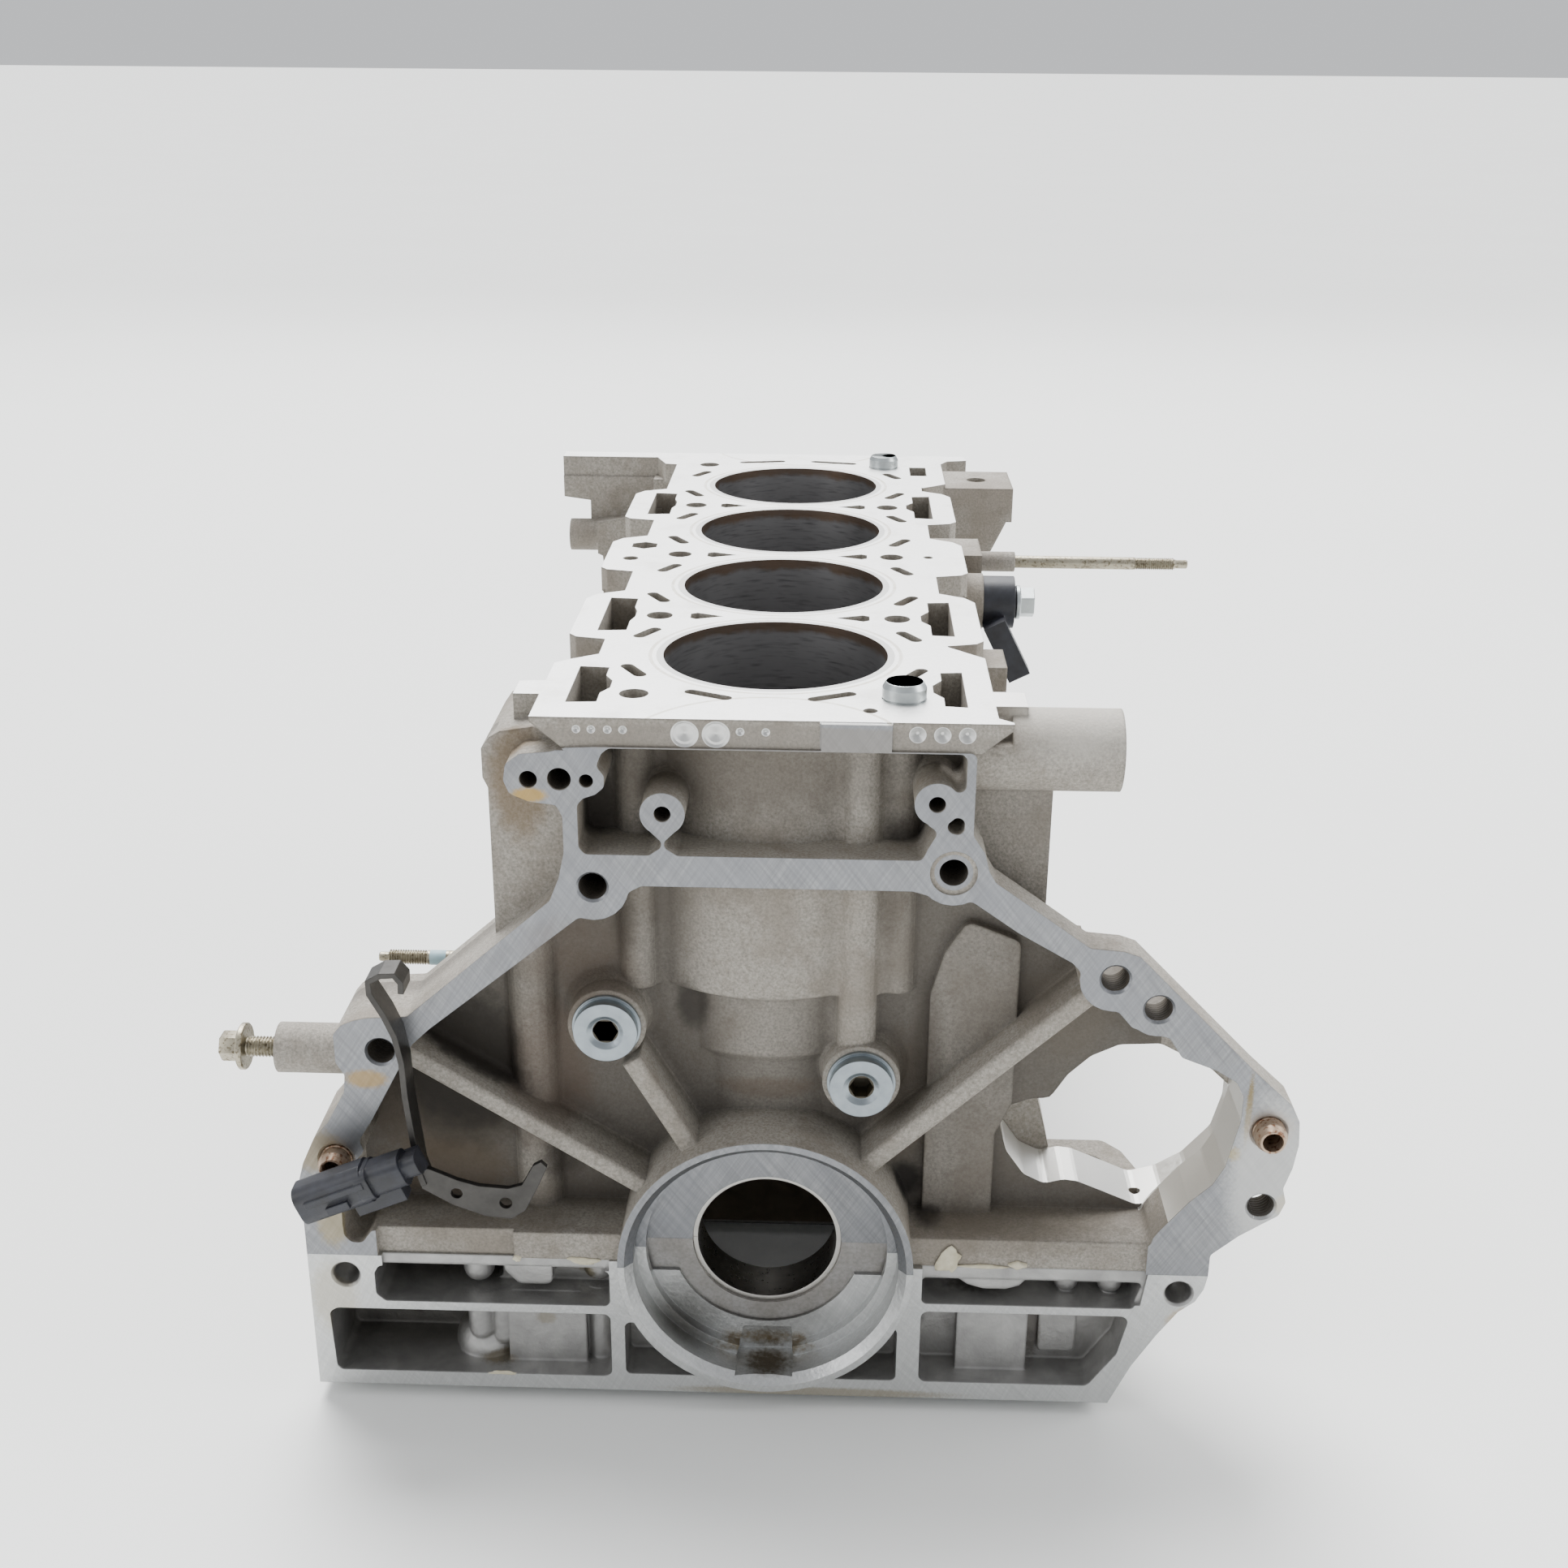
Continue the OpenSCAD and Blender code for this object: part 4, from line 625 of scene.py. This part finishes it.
slots = {
    "cast_aluminium": ["cylinder_block", "stud_sleeve"],
    "bedplate_aluminium": ["bedplate"],
    "cast_iron": ["cap_insert_%d" % i for i in range(1, 6)],
    "liner_iron": ["liner_%d" % i for i in range(1, 5)],
    "bearing_metal": ["%s_shell_%d" % (half, i) for half in ("upper", "lower")
                      for i in range(1, 6)],
    "bolt_steel": ["main_bolts", "bedplate_bolts"],
    "zinc_steel": [*plugs, "deck_dowel_rear", "deck_dowel_front", "knock_sensor_bolt"],
    "yellow_zinc_steel": ["side_bolt", "side_stud", "long_stud"],
    "rusty_steel": ["flange_dowel_left", "flange_dowel_right"],
    "bracket_steel": ["harness_bracket"],
    "black_plastic": ["harness_connector", "knock_sensor"],
}
for slot, nodes in slots.items():
    for name in nodes:
        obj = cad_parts[name]
        obj.data.materials.clear()
        obj.data.materials.append(finishes[slot])


# ---- fasteners, fittings and what sticks to the castings ----

def keep(bm, name, skins, stands_for, corner=0.0, corner_from=30):
    """Turns a finished bmesh into a piece on the block. Its corners are broken by corner mm
    where they are sharper than corner_from degrees."""
    bmesh.ops.remove_doubles(bm, verts=bm.verts, dist=0.002 * MM)
    bmesh.ops.recalc_face_normals(bm, faces=bm.faces)
    for face in bm.faces:
        face.smooth = True
    mesh = bpy.data.meshes.new(name)
    bm.to_mesh(mesh)
    bm.free()
    mesh.set_sharp_from_angle(angle=math.radians(corner_from))
    for skin in skins:
        mesh.materials.append(skin)
    piece = bpy.data.objects.new(name, mesh)
    bpy.context.scene.collection.objects.link(piece)
    if corner:
        broken = piece.modifiers.new("broken_corners", "BEVEL")
        broken.width = corner * MM
        broken.segments = 2
        broken.limit_method = "ANGLE"
        broken.angle_limit = math.radians(corner_from)
        broken.harden_normals = True
    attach(piece, "root")
    if stands_for:
        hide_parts(*stands_for)
    return piece


def with_corners(node, slot, corner, skin=None):
    """A fitting in its own shape, merged into clean faces, with its corners broken."""
    bm = bmesh.new()
    bm.from_mesh(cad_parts[node].data)
    bmesh.ops.remove_doubles(bm, verts=bm.verts, dist=0.005 * MM)
    bmesh.ops.dissolve_limit(bm, angle_limit=math.radians(0.5), verts=bm.verts, edges=bm.edges)
    keep(bm, node + "_finished", [skin or finishes[slot]], [node], corner)


def turned(bm, profile, y, z):
    """Turns a profile of (radius, x) in mm about the crossways axis at y and z."""
    axis = Vector((1, 0, 0))
    start = Vector((0, y, z)) * MM
    out = axis.orthogonal().normalized()
    dots = [bm.verts.new(start + (out * r + axis * t) * MM) for r, t in profile]
    edges = [bm.edges.new(pair) for pair in zip(dots, dots[1:])]
    bmesh.ops.spin(bm, geom=dots + edges, cent=start, axis=axis, dvec=(0, 0, 0),
                   angle=math.tau, steps=40, use_merge=True)


def thread_profile(radius, start, end, pitch):
    """The zigzag of a cut thread between two stations."""
    turns = int((end - start) / pitch)
    root = radius - 0.6 * pitch
    zigzag = []
    for i in range(turns):
        zigzag += [(root, start + i * pitch), (radius, start + (i + 0.5) * pitch)]
    return zigzag + [(root, start + turns * pitch)]


def hex_head(bm, across, height):
    """A hexagon head, upright, with its corners turned off at the free end."""
    corner_radius = across / math.sqrt(3) * MM
    made = bmesh.ops.create_cone(bm, cap_ends=True, segments=6, radius1=corner_radius,
                                 radius2=corner_radius, depth=height * MM)["verts"]
    rims = {edge for v in made for edge in v.link_edges
            if all(end.co.z < 0 for end in edge.verts)}
    bmesh.ops.bevel(bm, geom=list(rims), offset=0.09 * across * MM, affect="EDGES", segments=2,
                    profile=0.5, material=-1)


def set_along_x(bm, start_x, y, z):
    """Lays a body that was made upright along the crossways axis."""
    bmesh.ops.rotate(bm, verts=bm.verts, cent=(0, 0, 0),
                     matrix=Matrix.Rotation(math.radians(90), 3, "Y"))
    bmesh.ops.translate(bm, vec=Vector((start_x, y, z)) * MM, verts=bm.verts)


def side_bolt():
    """The bolt in the left boss: hexagon head, pressed washer face and a cut thread."""
    y, z = 14, 84
    bm = bmesh.new()
    hex_head(bm, 10, 7.5)
    set_along_x(bm, -204.75, y, z)
    washer_face = [(0, -201.2), (8.2, -201.2), (9, -200.6), (9, -199.0), (8.6, -198.6),
                   (3.5, -198.6)]
    turned(bm, washer_face + thread_profile(4, -198, -170, 1.25) + [(0, -169)], y, z)
    keep(bm, "side_bolt_threaded", [finishes["yellow_zinc_steel"]], ["side_bolt"])


def side_stud():
    """The left stud: pilot point, cut thread, plain shank and a band of marking paint."""
    y, z = 58, 101
    shank = 2.9
    bm = bmesh.new()
    pilot = [(0, -157), (1.6, -157), (1.9, -156.5), (1.9, -153)]
    turned(bm, pilot + thread_profile(3, -153, -138, 1.0)
           + [(shank, -137.5), (shank, -88), (0, -87)], y, z)
    turned(bm, [(shank, -136.5), (3, -136.3), (3, -130.2), (shank, -130)], y, z)
    piece = keep(bm, "side_stud_threaded", [finishes["yellow_zinc_steel"], marking_paint],
                 ["side_stud"])
    for face in piece.data.polygons:
        out = math.hypot(face.center.y - y * MM, face.center.z - z * MM)
        if -136.6 * MM < face.center.x < -129.9 * MM and out > shank * MM:
            face.material_index = 1


def long_stud(z):
    """The long right stud: plain shank with a thread at its outer end and a pilot point."""
    y = 275
    bm = bmesh.new()
    turned(bm, [(0, 80), (2.9, 80.5), (3, 81), (3, 166)] + thread_profile(3, 166, 185.5, 1.0)
           + [(2.1, 186), (2.1, 191), (1.6, 191.5), (0, 191.5)], y, z)
    keep(bm, "long_stud_threaded", [finishes["yellow_zinc_steel"]], ["long_stud"])


def sealant(name, centre, size, wave, lean=0.0):
    """A bead or flake of sealant squeezed from the joint, its skin drawn in waves."""
    bm = bmesh.new()
    bmesh.ops.create_icosphere(bm, subdivisions=3, radius=1.0)
    for v in bm.verts:
        broad = 0.28 * math.sin(4.1 * v.co.x + wave) * math.sin(3.3 * v.co.z + 2 * wave)
        fine = 0.12 * math.sin(9 * v.co.x + 7 * v.co.z + wave)
        swell = 1 + broad + fine
        v.co = Vector((v.co.x * size[0], v.co.y * size[1], v.co.z * size[2])) * swell * MM
    bmesh.ops.smooth_vert(bm, verts=bm.verts, factor=0.4, use_axis_x=True, use_axis_y=True,
                          use_axis_z=True)
    bmesh.ops.rotate(bm, verts=bm.verts, cent=(0, 0, 0),
                     matrix=Matrix.Rotation(math.radians(lean), 3, "Y"))
    bmesh.ops.translate(bm, vec=Vector(centre) * MM, verts=bm.verts)
    keep(bm, name, [sealant_skin], [], corner_from=80)


side_bolt()
side_stud()
stud_low, stud_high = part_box("long_stud")
long_stud((stud_low[2] + stud_high[2]) / 2 / MM)
for node, slot, corner in [
        ("harness_connector", "black_plastic", 0.6), ("harness_bracket", "bracket_steel", 0.3),
        ("deck_dowel_rear", "zinc_steel", 0.2), ("deck_dowel_front", "zinc_steel", 0.2),
        ("flange_dowel_left", "rusty_steel", 0.3), ("flange_dowel_right", "rusty_steel", 0.3),
        ("knock_sensor", "black_plastic", 0.7), ("knock_sensor_bolt", "zinc_steel", 0.4),
        ("stud_sleeve", "cast_aluminium", 0.4)]:
    with_corners(node, slot, corner)
for node in plugs:
    with_corners(node, "zinc_steel", 0.45, plug_finish)

# a strip of wall over the slit that the drain leaves beside the left wall's third bulge
STRIP_SIZE, STRIP_CENTRE = (6.4, 1.6, 124), (-72.4, 353.1, 154)
wall = bmesh.new()
bmesh.ops.create_cube(wall, size=1.0)
bmesh.ops.scale(wall, vec=Vector(STRIP_SIZE) * MM, verts=wall.verts)
bmesh.ops.translate(wall, vec=Vector(STRIP_CENTRE) * MM, verts=wall.verts)
keep(wall, "left_wall_strip", [finishes["cast_aluminium"]], [], corner=0.3)

sealant_skin = cured_sealant()
sealant("sealant_flake", (71.5, 1.6, 3.2), (4.6, 0.7, 6.2), 0.7, 24)
sealant("sealant_blob", (98.1, 1.8, 1.6), (3.4, 1.4, 1.5), 2.1)
sealant("sealant_strip_left", (-70.8, 0.6, -0.6), (6.4, 0.9, 1.7), 1.4, 3)
sealant("sealant_drip", (-97.0, 0.9, -0.3), (1.7, 0.8, 1.5), 3.0)
sealant("sealant_bead_right", (84, 1.9, 0.6), (9, 0.7, 0.8), 4.2, 1)
sealant("sealant_crumbs", (-105, 0.1, -54.6), (5.6, 0.45, 1.0), 5.1, 1)


# ---- studio ----

def soft_box(name, at, towards, size, power):
    """A white area light of a given size in m and power in W, out of the camera's sight."""
    lamp = bpy.data.lights.new(name, "AREA")
    lamp.shape = "RECTANGLE"
    lamp.size, lamp.size_y = size
    lamp.energy = power
    obj = bpy.data.objects.new(name, lamp)
    bpy.context.scene.collection.objects.link(obj)
    aim = Vector(towards) - Vector(at)
    obj.matrix_world = Matrix.Translation(at) @ aim.to_track_quat("-Z", "Y").to_matrix().to_4x4()
    obj.visible_camera = False


overhead = bpy.data.lights.new("overhead_light", "SUN")
overhead.energy = 5.4
overhead.angle = math.radians(34)
overhead_lamp = bpy.data.objects.new("overhead_light", overhead)
bpy.context.scene.collection.objects.link(overhead_lamp)
overhead_lamp.matrix_world = Vector((0.18, -0.5, -1)).to_track_quat("-Z", "Y").to_matrix().to_4x4()
soft_box("back_light", (0, 2.6, 1.7), (0, 0.2, 0.1), (3.2, 1.5), 55)
soft_box("left_light", (-1.5, -0.7, 0.8), (0, 0.1, 0.05), (0.9, 0.9), 8)
soft_box("right_light", (1.5, 0.1, 1.1), (0.05, 0.1, 0.1), (0.8, 0.8), 14)

world = bpy.data.worlds.new("studio")
bpy.context.scene.world = world
world.use_nodes = True
sky = world.node_tree.nodes["Background"]
sky.inputs["Color"].default_value = shade("#f0f2f5")
sky.inputs["Strength"].default_value = 0.82

# the floor lies just clear of the part's underside
FLOOR_GAP = 0.2 * MM
floor_mesh = bpy.data.meshes.new("floor")
bm = bmesh.new()
bmesh.ops.create_grid(bm, x_segments=1, y_segments=1, size=60.0)
bmesh.ops.translate(bm, vec=(0, 0, cad_box[0][2] - FLOOR_GAP), verts=bm.verts)
bm.to_mesh(floor_mesh)
bm.free()
floor = bpy.data.objects.new("floor", floor_mesh)
bpy.context.scene.collection.objects.link(floor)
floor_mat, floor_tree, floor_skin, floor_place = finish("painted_floor")
haze = add(floor_tree, "TexNoise", {}, {"Vector": floor_place.outputs["Object"], "Scale": 2.5,
                                        "Detail": 2.0})
floor_tree.links.new(tint(floor_tree, haze.outputs["Fac"], "#f1f2f0", "#f6f7f5"),
                     floor_skin.inputs["Base Color"])
floor_skin.inputs["Roughness"].default_value = 0.6
floor_mesh.materials.append(floor_mat)

# ---- camera, at the photograph's viewing angle ----

# solved from the bores, the deck and the rear face: pixels, metres and radians
PHOTO_WIDTH_PX, FOCAL_PX = 1932, 2291.947
SENSOR_MM = 36
eye = (0.022779, -0.603858, 0.438113)
yaw, pitch, roll = -0.02816613, 0.37409718, 0.007983715
ahead = Vector((math.sin(yaw) * math.cos(pitch), math.cos(yaw) * math.cos(pitch), -math.sin(pitch)))
side = Vector((math.cos(yaw), -math.sin(yaw), 0))
over = side.cross(ahead)
right = side * math.cos(roll) + over * math.sin(roll)
top = over * math.cos(roll) - side * math.sin(roll)
view = bpy.data.cameras.new("camera")
view.sensor_width = SENSOR_MM
view.lens = FOCAL_PX / PHOTO_WIDTH_PX * SENSOR_MM
view.clip_start = 0.02
camera = bpy.data.objects.new("camera", view)
bpy.context.scene.collection.objects.link(camera)
camera.matrix_world = Matrix((
    (right.x, top.x, -ahead.x, eye[0]),
    (right.y, top.y, -ahead.y, eye[1]),
    (right.z, top.z, -ahead.z, eye[2]),
    (0, 0, 0, 1)))
bpy.context.scene.camera = camera
